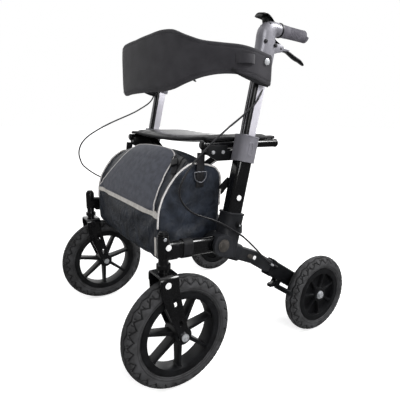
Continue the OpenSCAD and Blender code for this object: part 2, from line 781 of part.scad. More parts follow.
// Points of the brake lever's blade, from the pivot to the tip, as y and z
function lever_point(t) = [mix(mix(0, lever_knee[0], t), mix(lever_knee[0], lever_reach, t), t),
                           mix(mix(0, lever_knee[1], t), mix(lever_knee[1], -lever_drop, t), t)];
function lever_normal(t) = let (d = unit(lever_point(t + 0.01) - lever_point(t - 0.01))) [-d.y, d.x];
function lever_half(t) = eased([[0, 4.5], [0.35, 3.5], [0.75, 5.5], [1, 2.5]], t, 1);

module brake_lever(side) {
  root = 0.06;
  places = [for (k = [0 : 10]) mix(root, 1, k / 10)];
  upper = [for (t = places) lever_point(t) + lever_half(t) * lever_normal(t)];
  lower = [for (t = places) lever_point(t) - lever_half(t) * lever_normal(t)];
  at_side(side) color(gloss_black) difference() {
    union() {
      translate([upright_x, lever_y, lever_z]) along_x(lever_eye_r, -lever_w / 2, lever_w / 2);
      side_plate(upright_x - lever_w / 2, upright_x + lever_w / 2) translate([lever_y, lever_z])
        polygon(concat(upper, [for (k = [10 : -1 : 0]) lower[k]]));
    }
    translate([upright_x, lever_y, lever_z]) along_x(lever_pin_r + run_fit, -lever_w, lever_w);
  }
}

module height_lever(side) {
  nose_r = 12;
  neck_x = paddle_ear_x - slide_fit - 0.6;
  at_side(side) color(gloss_black) translate([upright_x, paddle_y, paddle_z]) difference() {
    union() {
      along_x(paddle_eye_r, -paddle_ear_x + slide_fit, paddle_ear_x - slide_fit);
      rotate([-paddle_rise, 0, 0]) intersection() {
        side_plate(-paddle_w / 2, paddle_w / 2) difference() {
          translate([-paddle_l, -2]) square([paddle_l, paddle_t + 3]);
          translate([-paddle_l / 2, -paddle_l * 1.5 + 1.2]) circle(paddle_l * 1.5);
        }
        translate([0, 0, -20]) linear_extrude(40) {
          translate([0, -paddle_l / 2 - 4]) polygon(stepped(paddle_w, paddle_l - 8, nose_r));
          translate([-neck_x, -14]) square([2 * neck_x, 14]);
        }
      }
    }
    along_x(paddle_pin_r + run_fit, -paddle_w, paddle_w);
  }
}

// Casters and wheels

// Fork blade outline, as y and z from the axle
module blade_outline() {
  top = crown_low - front_r - fork_corner_r;
  front = -trail - crown_l / 2;
  rear = -trail + crown_l / 2;
  difference() {
    union() {
      circle(blade_w / 2);
      polygon([[-blade_w / 2, -2], [front + 3, top - 36], [front, top + fork_corner_r],
               [rear, top + fork_corner_r], [rear + 1, top - 24], [blade_w / 2, 0]]);
    }
    for (slot = [[0.66, 24], [0.27, 18]])
      translate([mix(0, -trail, slot[0]), mix(0, top, slot[0])]) rotate(atan2(trail, top))
        rounded(8, slot[1], 3.9);
  }
}

module fork(side) {
  half = fork_gap / 2 + fork_t;
  at_side(side) color(gloss_black) translate([wheel_x, 0, 0]) difference() {
    union() {
      translate([0, stem_y + crown_l / 2, crown_top]) rotate([90, 0, 0]) linear_extrude(crown_l)
        difference() {
          union() {
            translate([-half, -2 * fork_corner_r]) square([2 * half, fork_corner_r]);
            translate([-half + fork_corner_r, -2 * fork_corner_r])
              square([2 * (half - fork_corner_r), 2 * fork_corner_r]);
            for (sx = [-1, 1])
              translate([sx * (half - fork_corner_r), -fork_corner_r]) circle(fork_corner_r);
          }
          translate([0, -3 * fork_corner_r - fork_t])
            rounded(fork_gap, 6 * fork_corner_r, fork_corner_r - fork_t);
        }
      for (sx = [-1, 1])
        translate([0, front_axle_y, front_r])
          side_plate(sx > 0 ? fork_gap / 2 : -half, sx > 0 ? half : -fork_gap / 2) intersection() {
            blade_outline();
            translate([-200, -100]) square([400, 100 + crown_top - front_r - fork_corner_r]);
          }
      translate([0, stem_y, crown_top - fork_t / 2]) {
        cylinder(d = stem_d, h = head_low + head_h - crown_top + fork_t / 2 - 1);
        cylinder(d = neck_d, h = fork_t / 2 + neck_h - neck_gap);
        translate([0, 0, fork_t / 2 + neck_ring_z]) cylinder(d = neck_ring_d, h = neck_ring_h);
      }
    }
    translate([0, front_axle_y, front_r]) along_x(axle_r + fit, -half - 1, half + 1);
  }
}

module front_axle(side) {
  half = fork_gap / 2 + fork_t + fit;
  at_side(side) color(steel) translate([wheel_x, front_axle_y, front_r]) {
    along_x(axle_r, -half, half);
    along_x(axle_r + 4, half, half + 4);
    along_x(axle_r + 3, -half - 5, -half);
  }
}

// Profile of a tyre in its upper half, as radius and axial place
module tyre_profile(r, w, bead_r) {
  bead_w = w - 14;
  neck = bead_r + flange_h + skin;
  groove = 3;
  difference() {
    intersection() {
      union() {
        translate([r - w / 2, 0]) circle(w / 2);
        polygon([[bead_r, -bead_w / 2], [neck, -bead_w / 2], [neck + 2, 4 - w / 2], [r - w / 2, -w / 2],
                 [r - w / 2, w / 2], [neck + 2, w / 2 - 4], [neck, bead_w / 2], [bead_r, bead_w / 2]]);
      }
      union() {
        translate([bead_r + fit, -bead_w / 2]) square([r, bead_w]);
        translate([neck, -w]) square([r, 2 * w]);
      }
    }
    translate([r - w / 2, 0]) circle(w / 2 - 6);
    translate([bead_r - 2, -bead_w / 2 + 7]) square([r - w / 2 - bead_r, bead_w - 14]);
    for (x = [-1, 1] * w * 0.17)
      translate([r - groove, x - groove / 2]) square([2 * groove, groove]);
  }
}

module front_tyre(side) {
  at_side(side) color(rubber_black) translate([wheel_x, front_axle_y, front_r]) rotate([0, 90, 0])
    rotate_extrude() tyre_profile(front_r, front_tyre_w, front_bead_d / 2);
}

module rear_tyre(side) {
  at_side(side) color(rubber_black) translate([wheel_x, rear_axle_y, rear_r]) rotate([0, 90, 0])
    rotate_extrude() tyre_profile(rear_r, rear_tyre_w, rear_bead_d / 2);
}

// Rim barrel with two flanges, along X, centred
module rim_barrel(bead_r, tyre_w) {
  half = tyre_w / 2 - 7;
  flange_t = 3;
  rotate([0, 90, 0]) rotate_extrude() {
    translate([bead_r - rim_wall, -half - flange_t]) square([rim_wall, 2 * (half + flange_t)]);
    for (x = [half + fit, -half - flange_t])
      translate([bead_r - 1, x]) square([flange_h + 1, flange_t - fit]);
  }
}

// Hub with its bearing seats, along X, centred
module hub_bores(w) {
  along_x(axle_r + 2, -w, w);
  for (sx = [-1, 1])
    translate([sx * w / 2, 0, 0]) along_x(bearing_d / 2 + fit, -bearing_w - fit, bearing_w + fit);
}

module front_rim(side) {
  bead_r = front_bead_d / 2;
  reach = bead_r - rim_wall + 2;
  at_side(side) color(gloss_black) translate([wheel_x, front_axle_y, front_r]) difference() {
    union() {
      rim_barrel(bead_r, front_tyre_w);
      along_x(hub_d / 2, -front_hub_w / 2, front_hub_w / 2);
      for (i = [0 : spokes - 1])
        rotate([360 * i / spokes + 12, 0, 0]) side_plate(-spoke_depth / 2, spoke_depth / 2)
          polygon([[hub_d / 2 - 3, -spoke_t * 0.8], [reach - 8, -spoke_t / 2], [reach, -spoke_t],
                   [reach, spoke_t], [reach - 8, spoke_t / 2], [hub_d / 2 - 3, spoke_t * 0.8]]);
    }
    hub_bores(front_hub_w);
  }
}

module rear_rim(side) {
  bead_r = rear_bead_d / 2;
  reach = bead_r - rim_wall + 2;
  web_t = 5;
  rib_depth = rear_tyre_w * 0.62;
  rib_t = 5;
  at_side(side) color(gloss_black) translate([wheel_x, rear_axle_y, rear_r]) difference() {
    union() {
      rim_barrel(bead_r, rear_tyre_w);
      along_x(hub_d / 2, -rear_hub_w / 2, rear_hub_w / 2);
      along_x(reach, -web_t / 2, web_t / 2);
      for (i = [0 : spokes - 1])
        rotate([360 * i / spokes + 20, 0, 0]) side_plate(-rib_depth / 2, rib_depth / 2)
          polygon([[hub_d / 2 - 3, -rib_t * 0.8], [reach - 12, -rib_t / 2], [reach, -rib_t * 1.5],
                   [reach, rib_t * 1.5], [reach - 12, rib_t / 2], [hub_d / 2 - 3, rib_t * 0.8]]);
    }
    hub_bores(rear_hub_w);
  }
}

// Pair of bearings in a hub of width w
module bearing_pair(w) {
  for (sx = [-1, 1])
    translate([sx * (w / 2 - bearing_w / 2), 0, 0]) difference() {
      along_x(bearing_d / 2, -bearing_w / 2, bearing_w / 2);
      along_x(axle_r + run_fit, -bearing_w, bearing_w);
    }
}

module front_bearings(side) {
  at_side(side) color(steel) translate([wheel_x, front_axle_y, front_r]) bearing_pair(front_hub_w);
}

module rear_bearings(side) {
  at_side(side) color(steel) translate([wheel_x, rear_axle_y, rear_r]) bearing_pair(rear_hub_w);
}

module rear_axle(side) {
  inner = leg_x - block_w / 2 - fit;
  outer = wheel_x + rear_hub_w / 2 + slide_fit;
  at_side(side) color(steel) translate([0, rear_axle_y, rear_r]) {
    along_x(axle_r, inner, outer);
    along_x(axle_r + 3, inner - 6, inner);
    along_x(axle_r + 6, outer, outer + 2);
    along_x(axle_r + 3, outer + 2, outer + 6);
  }
}

module brake_arm(side) {
  at_side(side) color(gloss_black) on_leg() mirror([0, 1, 0]) difference() {
    union() {
      rotate([90, 0, 90]) translate([0, 0, -arm_w / 2]) linear_extrude(arm_w) {
        translate([arm_pivot_h, arm_pivot_s]) circle(arm_eye_r);
        translate([pad_h, pad_s]) circle(pad_r - 1);
        translate([arm_pivot_h, arm_pivot_s])
          polygon([[-3, -4], [arm_eye_r - 0.2, 1], [pad_h - arm_pivot_h + 6.8, pad_s - arm_pivot_s + 1],
                   [pad_h - arm_pivot_h - 5, pad_s - arm_pivot_s - 4]]);
        translate([arm_pivot_h, arm_pivot_s]) polygon([[-2, 8], [arm_eye_r, 0], [20, 20], [12, 24]]);
      }
      translate([0, pad_h, pad_s]) along_x(pad_r, -arm_w / 2, wheel_x - leg_x + rear_tyre_w / 2 - 6);
    }
    translate([0, arm_pivot_h, arm_pivot_s]) along_x(arm_pin_r + run_fit, -arm_w, arm_w);
  }
}

// Rings of a cable round its route, seen square to its heading
function cable_rings(pts) = let (path = route(pts, cable_steps))
  [for (i = [0 : len(path) - 1])
    let (t = heading(path, i), u = unit(cross(t, [1, 0, 0])), w = cross(t, u))
      [for (k = [0 : cable_sides - 1]) let (a = 360 * k / cable_sides)
        path[i] + cable_d / 2 * (cos(a) * u + sin(a) * w)]];

module brake_cable_left() {
  color(gloss_black) loft(cable_rings(cable_left));
}

module brake_cable_right() {
  color(gloss_black) loft(cable_rings(cable_right));
}

// Fold and seat

module seat_rail(side) {
  cap_l = 8;
  at_side(side) color(gloss_black) translate([rail_x, 0, rail_z]) {
    along_y(rail_r, rail_front_y, rail_rear_y);
    for (end = [[rail_front_y, 180], [rail_rear_y, 0]])
      translate([0, end[0], 0]) rotate([-90, 0, end[1]]) rotate_extrude()
        polygon([[0, 0], [rail_r + 1, 0], [rail_r + 1, cap_l - 4], [rail_r - 3, cap_l], [0, cap_l]]);
  }
}

// Cross bar rising from the left lower pivot to the right rail, at place y
module cross_bar(y) {
  difference() {
    union() {
      translate([rail_x, y, pivot_z]) rotate([0, bar_angle - 90, 0])
        linear_extrude(bar_len) polygon(stepped(bar_w, bar_w, bar_r));
      translate([rail_x, 0, pivot_z])
        along_y(pivot_tube_r, pivot_front + slide_fit, pivot_rear - slide_fit);
      translate([-rail_x, y, rail_z]) along_y(bar_eye_r, -bar_eye_l / 2, bar_eye_l / 2);
    }
    translate([rail_x, 0, pivot_z]) along_y(pivot_pin_r + run_fit, pivot_front, pivot_rear);
    translate([-rail_x, y, rail_z]) along_y(rail_r + fit, -bar_w, bar_w);
    translate([0, y, (pivot_z + rail_z) / 2]) along_y(centre_bolt_r + run_fit, -bar_w, bar_w);
  }
}

module cross_bar_a() {
  color(gloss_black) cross_bar(bar_a_y);
}

module cross_bar_b() {
  color(gloss_black) mirror([1, 0, 0]) cross_bar(bar_b_y);
}

module centre_bolt() {
  front = bar_a_y - bar_w / 2 - fit;
  rear = bar_b_y + bar_w / 2 + slide_fit;
  color(steel) translate([0, 0, (pivot_z + rail_z) / 2]) {
    along_y(centre_bolt_r, front, rear);
    along_y(centre_bolt_r + 4, front - 4, front);
    along_y(centre_bolt_r + 4, rear, rear + 4);
    along_y(centre_bolt_r + 4, bar_a_y + bar_w / 2 + slide_fit, bar_b_y - bar_w / 2 - slide_fit);
  }
}

// Seat pad: crowned over its length, sagging between the rails, its front and back drawn in
function seat_ring(t) = let (x = seat_half_w * t, dip = max(0, 1 - pow(x / (rail_x - 4), 2)),
  half_t = seat_t / 2 * (1 - 0.35 * pow(abs(t), 8)))
  [for (p = squircle(28, seat_half_l - seat_draw * dip, half_t, 3.2))
    let (crown = seat_crown * (1 - pow(p.x / seat_half_l, 2)))
      [x, seat_mid_y + p.x, seat_low_z + half_t + p.y + (crown - seat_sag) * dip]];

module seat() {
  color(gloss_black) difference() {
    loft([for (i = [-12 : 12]) seat_ring(i / 12)]);
    for (eye = [[-rail_x, bar_a_y], [rail_x, bar_b_y]])
      translate([eye[0], eye[1], rail_z])
        along_y(bar_eye_r + skin, -bar_eye_l / 2 - skin, bar_eye_l / 2 + skin);
  }
}

// Backrest edges by distance from the middle: place, lower edge, upper edge, half thickness
back_edges = [[0, back_low_z, back_high_z - 0.04 * back_h, back_t / 2],
              [back_wide_x, back_low_z, back_high_z, back_t / 2],
              [back_narrow_x, back_low_z + 0.24 * back_h, back_high_z - 0.28 * back_h,
               (back_t + back_end_t) / 4],
              [back_half_w, backrest_bolt_z - back_end_drop, backrest_bolt_z + back_end_rise,
               back_end_t / 2]];
// Section of the backrest at a place on its plan curve, with the outward direction n
function back_ring(x, y, n) =
  let (q = abs(x), low = eased(back_edges, q, 1), high = eased(back_edges, q, 2))
  [for (p = squircle(14, eased(back_edges, q, 3), (high - low) / 2, 4))
    [x + p.x * n.x, y + p.x * n.y, (low + high) / 2 + p.y]];
function back_arc(t) = [back_half_w * cos(t), back_straight_y - back_bulge * sin(t)];
function back_out(t) = unit([back_bulge * cos(t), -back_half_w * sin(t)]);
function back_rings() = concat(
  [for (y = [back_end_y, (back_end_y + back_straight_y) / 2]) back_ring(back_half_w, y, [1, 0])],
  [for (t = [0 : 4 : 180]) back_ring(back_arc(t).x, back_arc(t).y, back_out(t))],
  [for (y = [(back_end_y + back_straight_y) / 2, back_end_y]) back_ring(-back_half_w, y, [-1, 0])]);

module backrest() {
  color(foam_grey) difference() {
    loft(back_rings());
    for (sx = [-1, 1])
      translate([sx * upright_x, backrest_bolt_y, backrest_bolt_z])
        rotate([0, 90 * sx, 0]) cylinder(r = backrest_bolt_r + fit, h = 2 * head_a + back_end_t);
  }
}

// Bag outline across the width t from -1 to 1: the lid is crowned, the gussets are drawn in
function bag_ring(t) = let (x = bag_half_w * t, in = bag_draw * pow(abs(t), 6),
  lid = bag_lid_h * (1 - pow(abs(t), 2.5)), mid = (bag_front_y + bag_rear_y) / 2)
  [for (p = [[1, 0.8, 0.3], [0.98, 0.89, 0.6], [0.88, 0.965, 0.95], [0.57, 1, 1], [0.49, 0.995, 0.95],
             [0.31, 0.915, 0.75], [0.165, 0.785, 0.5], [0.06, 0.65, 0.25], [0, 0.49, 0], [0, 0.085, 0],
             [0.02, 0.025, 0], [0.08, 0, 0], [0.92, 0, 0], [0.95, 0.17, 0]])
    let (y = bag_front_y + bag_d * p.x, z = bag_low_z + bag_h * p.y + lid * p.z)
      [x, mid + (y - mid) * (1 - 2 * in / bag_d), z + (p.y < 0.4 ? in * 0.5 : -in)]];

module bag_band() {
  w = front_tube_w + 2 * skin;
  h = front_tube_h + 2 * skin;
  on_front_tube() translate([0, 0, front_tube_len - bag_band_from_head - bag_band_w])
    linear_extrude(bag_band_w) difference() {
      union() {
        rounded(w + 2 * bag_band_t, h + 2 * bag_band_t, w / 2);
        translate([-upright_x + bag_half_w - 30, h / 2 - 6]) square([upright_x - bag_half_w + 20, 3]);
      }
      rounded(w, h, w / 2 - 1);
    }
}

module bag() {
  color(bag_navy) {
    loft([for (t = [-1, -0.96, -0.85, -0.6, -0.3, 0, 0.3, 0.6, 0.85, 0.96, 1]) bag_ring(t)]);
    for (side = [-1, 1]) at_side(side) bag_band();
  }
}

frame_joint(1);  // frame_joint_left
frame_joint(-1);  // frame_joint_right
front_tube(1);  // front_tube_left
front_tube(-1);  // front_tube_right
caster_head(1);  // caster_head_left
caster_head(-1);  // caster_head_right
rear_leg(1);  // rear_leg_left
rear_leg(-1);  // rear_leg_right
axle_block(1);  // axle_block_left
axle_block(-1);  // axle_block_right
upright_tube(1);  // upright_tube_left
upright_tube(-1);  // upright_tube_right
height_sleeve(1);  // height_sleeve_left
height_sleeve(-1);  // height_sleeve_right
rail_rest(1);  // rail_rest_left
rail_rest(-1);  // rail_rest_right
frame_bolts(1);  // frame_bolts_left
frame_bolts(-1);  // frame_bolts_right
handle_tube(1);  // handle_tube_left
handle_tube(-1);  // handle_tube_right
handle_head(1);  // handle_head_left
handle_head(-1);  // handle_head_right
grip(1);  // grip_left
grip(-1);  // grip_right
head_screws(1);  // head_screws_left
head_screws(-1);  // head_screws_right
brake_lever(1);  // brake_lever_left
brake_lever(-1);  // brake_lever_right
height_lever(1);  // height_lever_left
height_lever(-1);  // height_lever_right
fork(1);  // fork_left
fork(-1);  // fork_right
front_axle(1);  // front_axle_left
front_axle(-1);  // front_axle_right
front_rim(1);  // front_rim_left
front_rim(-1);  // front_rim_right
front_tyre(1);  // front_tyre_left
front_tyre(-1);  // front_tyre_right
front_bearings(1);  // front_bearings_left
front_bearings(-1);  // front_bearings_right
rear_rim(1);  // rear_rim_left
rear_rim(-1);  // rear_rim_right
rear_tyre(1);  // rear_tyre_left
rear_tyre(-1);  // rear_tyre_right
rear_bearings(1);  // rear_bearings_left
rear_bearings(-1);  // rear_bearings_right
rear_axle(1);  // rear_axle_left
rear_axle(-1);  // rear_axle_right
brake_arm(1);  // brake_arm_left
brake_arm(-1);  // brake_arm_right
brake_cable_left();
brake_cable_right();
seat_rail(1);  // seat_rail_left
seat_rail(-1);  // seat_rail_right
cross_bar_a();
cross_bar_b();
centre_bolt();
seat();
bag();
backrest();
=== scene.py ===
import bmesh
import bpy
import json
import math
import numpy as np
from contextlib import contextmanager
from mathutils import Matrix, Vector

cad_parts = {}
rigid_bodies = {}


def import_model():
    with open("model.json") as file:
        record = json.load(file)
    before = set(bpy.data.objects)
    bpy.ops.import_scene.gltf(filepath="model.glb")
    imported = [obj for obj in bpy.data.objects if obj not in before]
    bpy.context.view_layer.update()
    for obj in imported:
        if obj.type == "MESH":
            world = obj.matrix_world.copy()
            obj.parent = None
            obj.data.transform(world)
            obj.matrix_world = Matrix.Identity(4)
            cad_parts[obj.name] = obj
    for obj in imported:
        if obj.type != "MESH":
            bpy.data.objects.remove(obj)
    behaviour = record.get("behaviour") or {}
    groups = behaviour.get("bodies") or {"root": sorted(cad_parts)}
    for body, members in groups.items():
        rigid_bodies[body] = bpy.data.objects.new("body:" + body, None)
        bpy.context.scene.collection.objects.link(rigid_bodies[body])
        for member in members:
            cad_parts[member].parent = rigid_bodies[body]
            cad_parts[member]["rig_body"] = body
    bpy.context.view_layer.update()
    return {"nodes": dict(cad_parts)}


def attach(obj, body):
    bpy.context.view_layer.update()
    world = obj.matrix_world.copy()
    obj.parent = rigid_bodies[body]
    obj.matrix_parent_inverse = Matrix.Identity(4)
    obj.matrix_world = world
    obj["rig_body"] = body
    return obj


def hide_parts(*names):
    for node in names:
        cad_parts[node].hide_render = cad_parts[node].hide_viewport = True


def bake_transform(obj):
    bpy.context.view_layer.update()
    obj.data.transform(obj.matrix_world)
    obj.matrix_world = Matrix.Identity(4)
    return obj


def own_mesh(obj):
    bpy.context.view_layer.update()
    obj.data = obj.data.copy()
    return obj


for leftover in list(bpy.data.objects):  # the start-up scene's own cube, lamp and camera
    bpy.data.objects.remove(leftover)
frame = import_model()
scene = bpy.context.scene
cadNodes = frame["nodes"]
mm = 0.001
bothSides = (("left", 1), ("right", -1))


def linear(hexCode):  # sRGB hex to a linear colour
    parts = [int(hexCode[i:i + 2], 16) / 255 for i in (1, 3, 5)]
    return tuple(c / 12.92 if c <= 0.04045 else ((c + 0.055) / 1.055) ** 2.4 for c in parts) + (1.0,)


def addNode(tree, kind, settings=None, links=None):  # one node with its settings and its links
    node = tree.nodes.new(kind)
    for key, value in (settings or {}).items():
        if isinstance(key, int) or key in node.inputs:
            node.inputs[key].default_value = value
        else:
            setattr(node, key, value)
    for key, source in (links or {}).items():
        tree.links.new(source, node.inputs[key])
    return node


# Materials

def surface(name, look):  # common graph: tone by a slow noise, roughness and grain by a fine one; sizes in mm
    material = bpy.data.materials.new(name)
    material.use_nodes = True
    tree = material.node_tree
    shader = tree.nodes["Principled BSDF"]
    place = addNode(tree, "ShaderNodeTexCoord").outputs["Object"]
    slow, fine = [addNode(tree, "ShaderNodeTexNoise", {"Scale": 1 / (look[size] * mm), "Detail": detail},
                          {"Vector": place}) for size, detail in (("patch", 4.0), ("grain", 3.0))]
    spread = addNode(tree, "ShaderNodeMapRange", {"From Min": 0.35, "From Max": 0.65},
                     {"Value": slow.outputs["Fac"]})
    colours = {"data_type": "RGBA", 6: linear(look["dark"]), 7: linear(look["light"])}
    tone = addNode(tree, "ShaderNodeMix", colours, {0: spread.outputs["Result"]})
    low, high = look["rough"]
    wear = {"From Min": 0.3, "From Max": 0.7, "To Min": low, "To Max": high}
    worn = addNode(tree, "ShaderNodeMapRange", wear, {"Value": fine.outputs["Fac"]})
    bump = {"Strength": look["relief"], "Distance": look.get("depth", 0.1) * mm}
    relief = addNode(tree, "ShaderNodeBump", bump, {"Height": fine.outputs["Fac"]})
    if "crease" in look:  # soft folds: their size and height
        size, height = look["crease"]
        waves = {"Scale": 1 / (size * mm), "Detail": 3.0, "Distortion": 1.5}
        fold = addNode(tree, "ShaderNodeTexNoise", waves, {"Vector": place})
        folds = addNode(tree, "ShaderNodeBump", {"Strength": 0.8, "Distance": height * mm},
                        {"Height": fold.outputs["Fac"]})
        tree.links.new(folds.outputs["Normal"], relief.inputs["Normal"])
    tree.links.new(tone.outputs[2], shader.inputs["Base Color"])
    tree.links.new(worn.outputs["Result"], shader.inputs["Roughness"])
    tree.links.new(relief.outputs["Normal"], shader.inputs["Normal"])
    for socket, value in look.get("shader", {}).items():
        shader.inputs[socket].default_value = value
    return {"material": material, "tree": tree, "shader": shader, "place": place, "tone": tone, "fine": fine,
            "relief": relief}


def overlay(look, share, hexCode):  # a second colour where the share is 1
    shown = addNode(look["tree"], "ShaderNodeMix", {"data_type": "RGBA", 7: linear(hexCode)},
                    {0: share, 6: look["tone"].outputs[2]})
    look["tree"].links.new(shown.outputs[2], look["shader"].inputs["Base Color"])
    return look["material"]


# Gloss paint on drawn aluminium: deep black, clear reflections, a trace of orange peel
glossPaint = surface("gloss_painted_aluminium", {
    "dark": "#060607", "light": "#0c0c0e", "patch": 60, "grain": 2.2, "rough": (0.13, 0.22), "relief": 0.05,
    "shader": {"Specular IOR Level": 0.5, "Coat Weight": 0.3, "Coat Roughness": 0.06}})["material"]
# Paint of the bent rear leg: the same black, duller, over bead-blasted aluminium
satinPaint = surface("satin_painted_aluminium", {
    "dark": "#1a1b1d", "light": "#242528", "patch": 55, "grain": 1.6, "rough": (0.3, 0.42), "relief": 0.08,
    "shader": {"Specular IOR Level": 0.45}})["material"]
# Glass-filled nylon, moulded: charcoal, satin, fine spark-eroded grain
jointNylon = surface("moulded_nylon", {
    "dark": "#1c1d20", "light": "#27282c", "patch": 45, "grain": 1.1, "rough": (0.42, 0.58), "relief": 0.18,
    "shader": {"Specular IOR Level": 0.3}})["material"]
# ABS, moulded and lightly polished: black with soft highlights
blackAbs = surface("moulded_black_abs", {
    "dark": "#0b0b0d", "light": "#131416", "patch": 35, "grain": 1.4, "rough": (0.3, 0.44), "relief": 0.1,
    "shader": {"Specular IOR Level": 0.32}})["material"]
# Nylon wheel: black, satin, flow marks from the mould
wheelNylon = surface("moulded_wheel_nylon", {
    "dark": "#0c0c0e", "light": "#151618", "patch": 26, "grain": 1.6, "rough": (0.34, 0.5), "relief": 0.12,
    "shader": {"Specular IOR Level": 0.3}})["material"]
# Satin paint on moulded nylon: lavender grey, a fine metal flake
satinGrey = surface("satin_grey_paint", {
    "dark": "#77767d", "light": "#87868d", "patch": 50, "grain": 0.9, "rough": (0.3, 0.42), "relief": 0.05,
    "shader": {"Metallic": 0.3, "Specular IOR Level": 0.5}})["material"]
# Brown nylon of the frame's round caps: dull, slightly cloudy
capNylon = surface("moulded_brown_nylon", {
    "dark": "#35322f", "light": "#484441", "patch": 14, "grain": 1.0, "rough": (0.45, 0.6), "relief": 0.15,
    "shader": {"Specular IOR Level": 0.3}})["material"]
# Zinc-plated steel: bright, faint bluing and handling marks
zincSteel = surface("zinc_plated_steel", {
    "dark": "#b4b6ba", "light": "#d8dadd", "patch": 9, "grain": 0.6, "rough": (0.22, 0.38), "relief": 0.06,
    "shader": {"Metallic": 0.6}})["material"]
# Blackened steel screws: dark, slightly oily
blackSteel = surface("black_oxide_steel", {
    "dark": "#1d1d1f", "light": "#2b2b2e", "patch": 6, "grain": 0.6, "rough": (0.3, 0.45), "relief": 0.08,
    "shader": {"Metallic": 0.7}})["material"]
# Nickel-plated steel of the bag rings: dull grey, worn
nickelSteel = surface("nickel_plated_steel", {
    "dark": "#5d5e63", "light": "#77787e", "patch": 6, "grain": 0.6, "rough": (0.35, 0.5), "relief": 0.08,
    "shader": {"Metallic": 0.5}})["material"]
# Soft rubber of the hand grip: warm grey, matt, pebbled
gripRubber = surface("grip_rubber", {
    "dark": "#55535a", "light": "#646269", "patch": 18, "grain": 0.8, "rough": (0.6, 0.78), "relief": 0.3,
    "shader": {"Specular IOR Level": 0.25}})["material"]
# Vulcanised tyre rubber: dark grey, matt, with painted shade darkening the cut grooves
tyreLook = surface("tyre_rubber", {
    "dark": "#2d2d2e", "light": "#404042", "patch": 22, "grain": 1.3, "rough": (0.55, 0.78), "relief": 0.28,
    "shader": {"Specular IOR Level": 0.3}})
# the groove attribute gives how much painted shade each point of the tyre gets
groove = addNode(tyreLook["tree"], "ShaderNodeAttribute", {"attribute_name": "groove"})
tyreRubberGrooveShade = overlay(tyreLook, groove.outputs["Fac"], "#161617")
# PVC cable cover: black, smooth, slightly greasy sheen
cablePvc = surface("pvc_cable_cover", {
    "dark": "#131315", "light": "#1d1d20", "patch": 14, "grain": 1.2, "rough": (0.3, 0.42), "relief": 0.05,
    "shader": {"Specular IOR Level": 0.4}})["material"]
# Retroreflective tape: pale warm grey, glass-bead grain
reflectTape = surface("reflective_tape", {
    "dark": "#c6c2bc", "light": "#dad6d0", "patch": 12, "grain": 0.9, "rough": (0.35, 0.55), "relief": 0.2,
    "shader": {"Specular IOR Level": 0.5}})["material"]
# Silver piping: coated cloth over a cord
silverPiping = surface("silver_piping", {
    "dark": "#c0bdbc", "light": "#dad7d5", "patch": 8, "grain": 0.8, "rough": (0.35, 0.5), "relief": 0.25,
    "shader": {"Specular IOR Level": 0.45}})["material"]
# Plain vinyl disc: white, smooth
whiteVinyl = surface("white_vinyl", {
    "dark": "#dfdfe0", "light": "#efefef", "patch": 10, "grain": 0.8, "rough": (0.3, 0.4),
    "relief": 0.03})["material"]
# Sewing thread: dark grey, matt
thread = surface("sewing_thread", {
    "dark": "#2a2a2d", "light": "#3c3c40", "patch": 3, "grain": 0.5, "rough": (0.6, 0.8),
    "relief": 0.2})["material"]


def woven(look, spacing, depth):  # crossed threads on a cloth; spacing in mm, drawn coarse enough to show
    tree, place = look["tree"], look["place"]
    rows = [addNode(tree, "ShaderNodeTexWave", {"bands_direction": axis, "Scale": 0.314 / (spacing * mm)},
                    {"Vector": place}).outputs["Fac"] for axis in ("X", "Y", "Z")]
    total = addNode(tree, "ShaderNodeMath", {"operation": "ADD"}, {0: rows[0], 1: rows[1]})
    total = addNode(tree, "ShaderNodeMath", {"operation": "ADD"}, {0: total.outputs[0], 1: rows[2]})
    threads = addNode(tree, "ShaderNodeBump", {"Strength": 0.35, "Distance": depth * mm},
                      {"Height": total.outputs[0], "Normal": look["relief"].outputs["Normal"]})
    tree.links.new(threads.outputs["Normal"], look["shader"].inputs["Normal"])
    return look["material"]


# Coated polyester of the bag: navy black, lighter patches in its colour as painted sheen, soft creases in the
# coating
bagCloth = woven(surface("coated_polyester", {
    "dark": "#171b22", "light": "#2c323d", "patch": 38, "grain": 3.0, "rough": (0.4, 0.6), "relief": 0.25,
    "depth": 0.4, "crease": (45, 5.0), "shader": {"Specular IOR Level": 0.35}}), spacing=1.6, depth=0.12)
# Heather polyester of the lid: slate grey, mottled yarn
lidCloth = woven(surface("heather_polyester", {
    "dark": "#444750", "light": "#535661", "patch": 16, "grain": 2.0, "rough": (0.55, 0.75), "relief": 0.3,
    "depth": 0.3, "shader": {"Specular IOR Level": 0.2, "Sheen Weight": 0.1, "Sheen Roughness": 0.5}}),
    spacing=1.6, depth=0.12)
# Knit-faced foam of the backrest: charcoal, matt, fine stipple
foamKnit = woven(surface("knit_faced_foam", {
    "dark": "#2a292d", "light": "#343337", "patch": 40, "grain": 1.5, "rough": (0.75, 0.92), "relief": 0.35,
    "depth": 0.2, "shader": {"Specular IOR Level": 0.12, "Sheen Weight": 0.15, "Sheen Roughness": 0.6}}),
    spacing=1.4, depth=0.1)
# PVC-coated seat cloth: black, leathery grain, a broad shine
seatCloth = surface("coated_seat_cloth", {
    "dark": "#0a0b0c", "light": "#121315", "patch": 70, "grain": 2.4, "rough": (0.3, 0.42), "relief": 0.22,
    "depth": 0.15, "shader": {"Specular IOR Level": 0.45}})["material"]
# Polypropylene webbing: black, ribbed across
webbing = woven(surface("polypropylene_webbing", {
    "dark": "#141416", "light": "#1f1f22", "patch": 12, "grain": 1.2, "rough": (0.5, 0.7), "relief": 0.25,
    "shader": {"Specular IOR Level": 0.25}}), spacing=2.0, depth=0.2)
# Nylon coil zip: black, semi gloss
zipNylon = surface("nylon_zip", {
    "dark": "#0f0f11", "light": "#1a1a1d", "patch": 6, "grain": 0.8, "rough": (0.35, 0.5),
    "relief": 0.2})["material"]
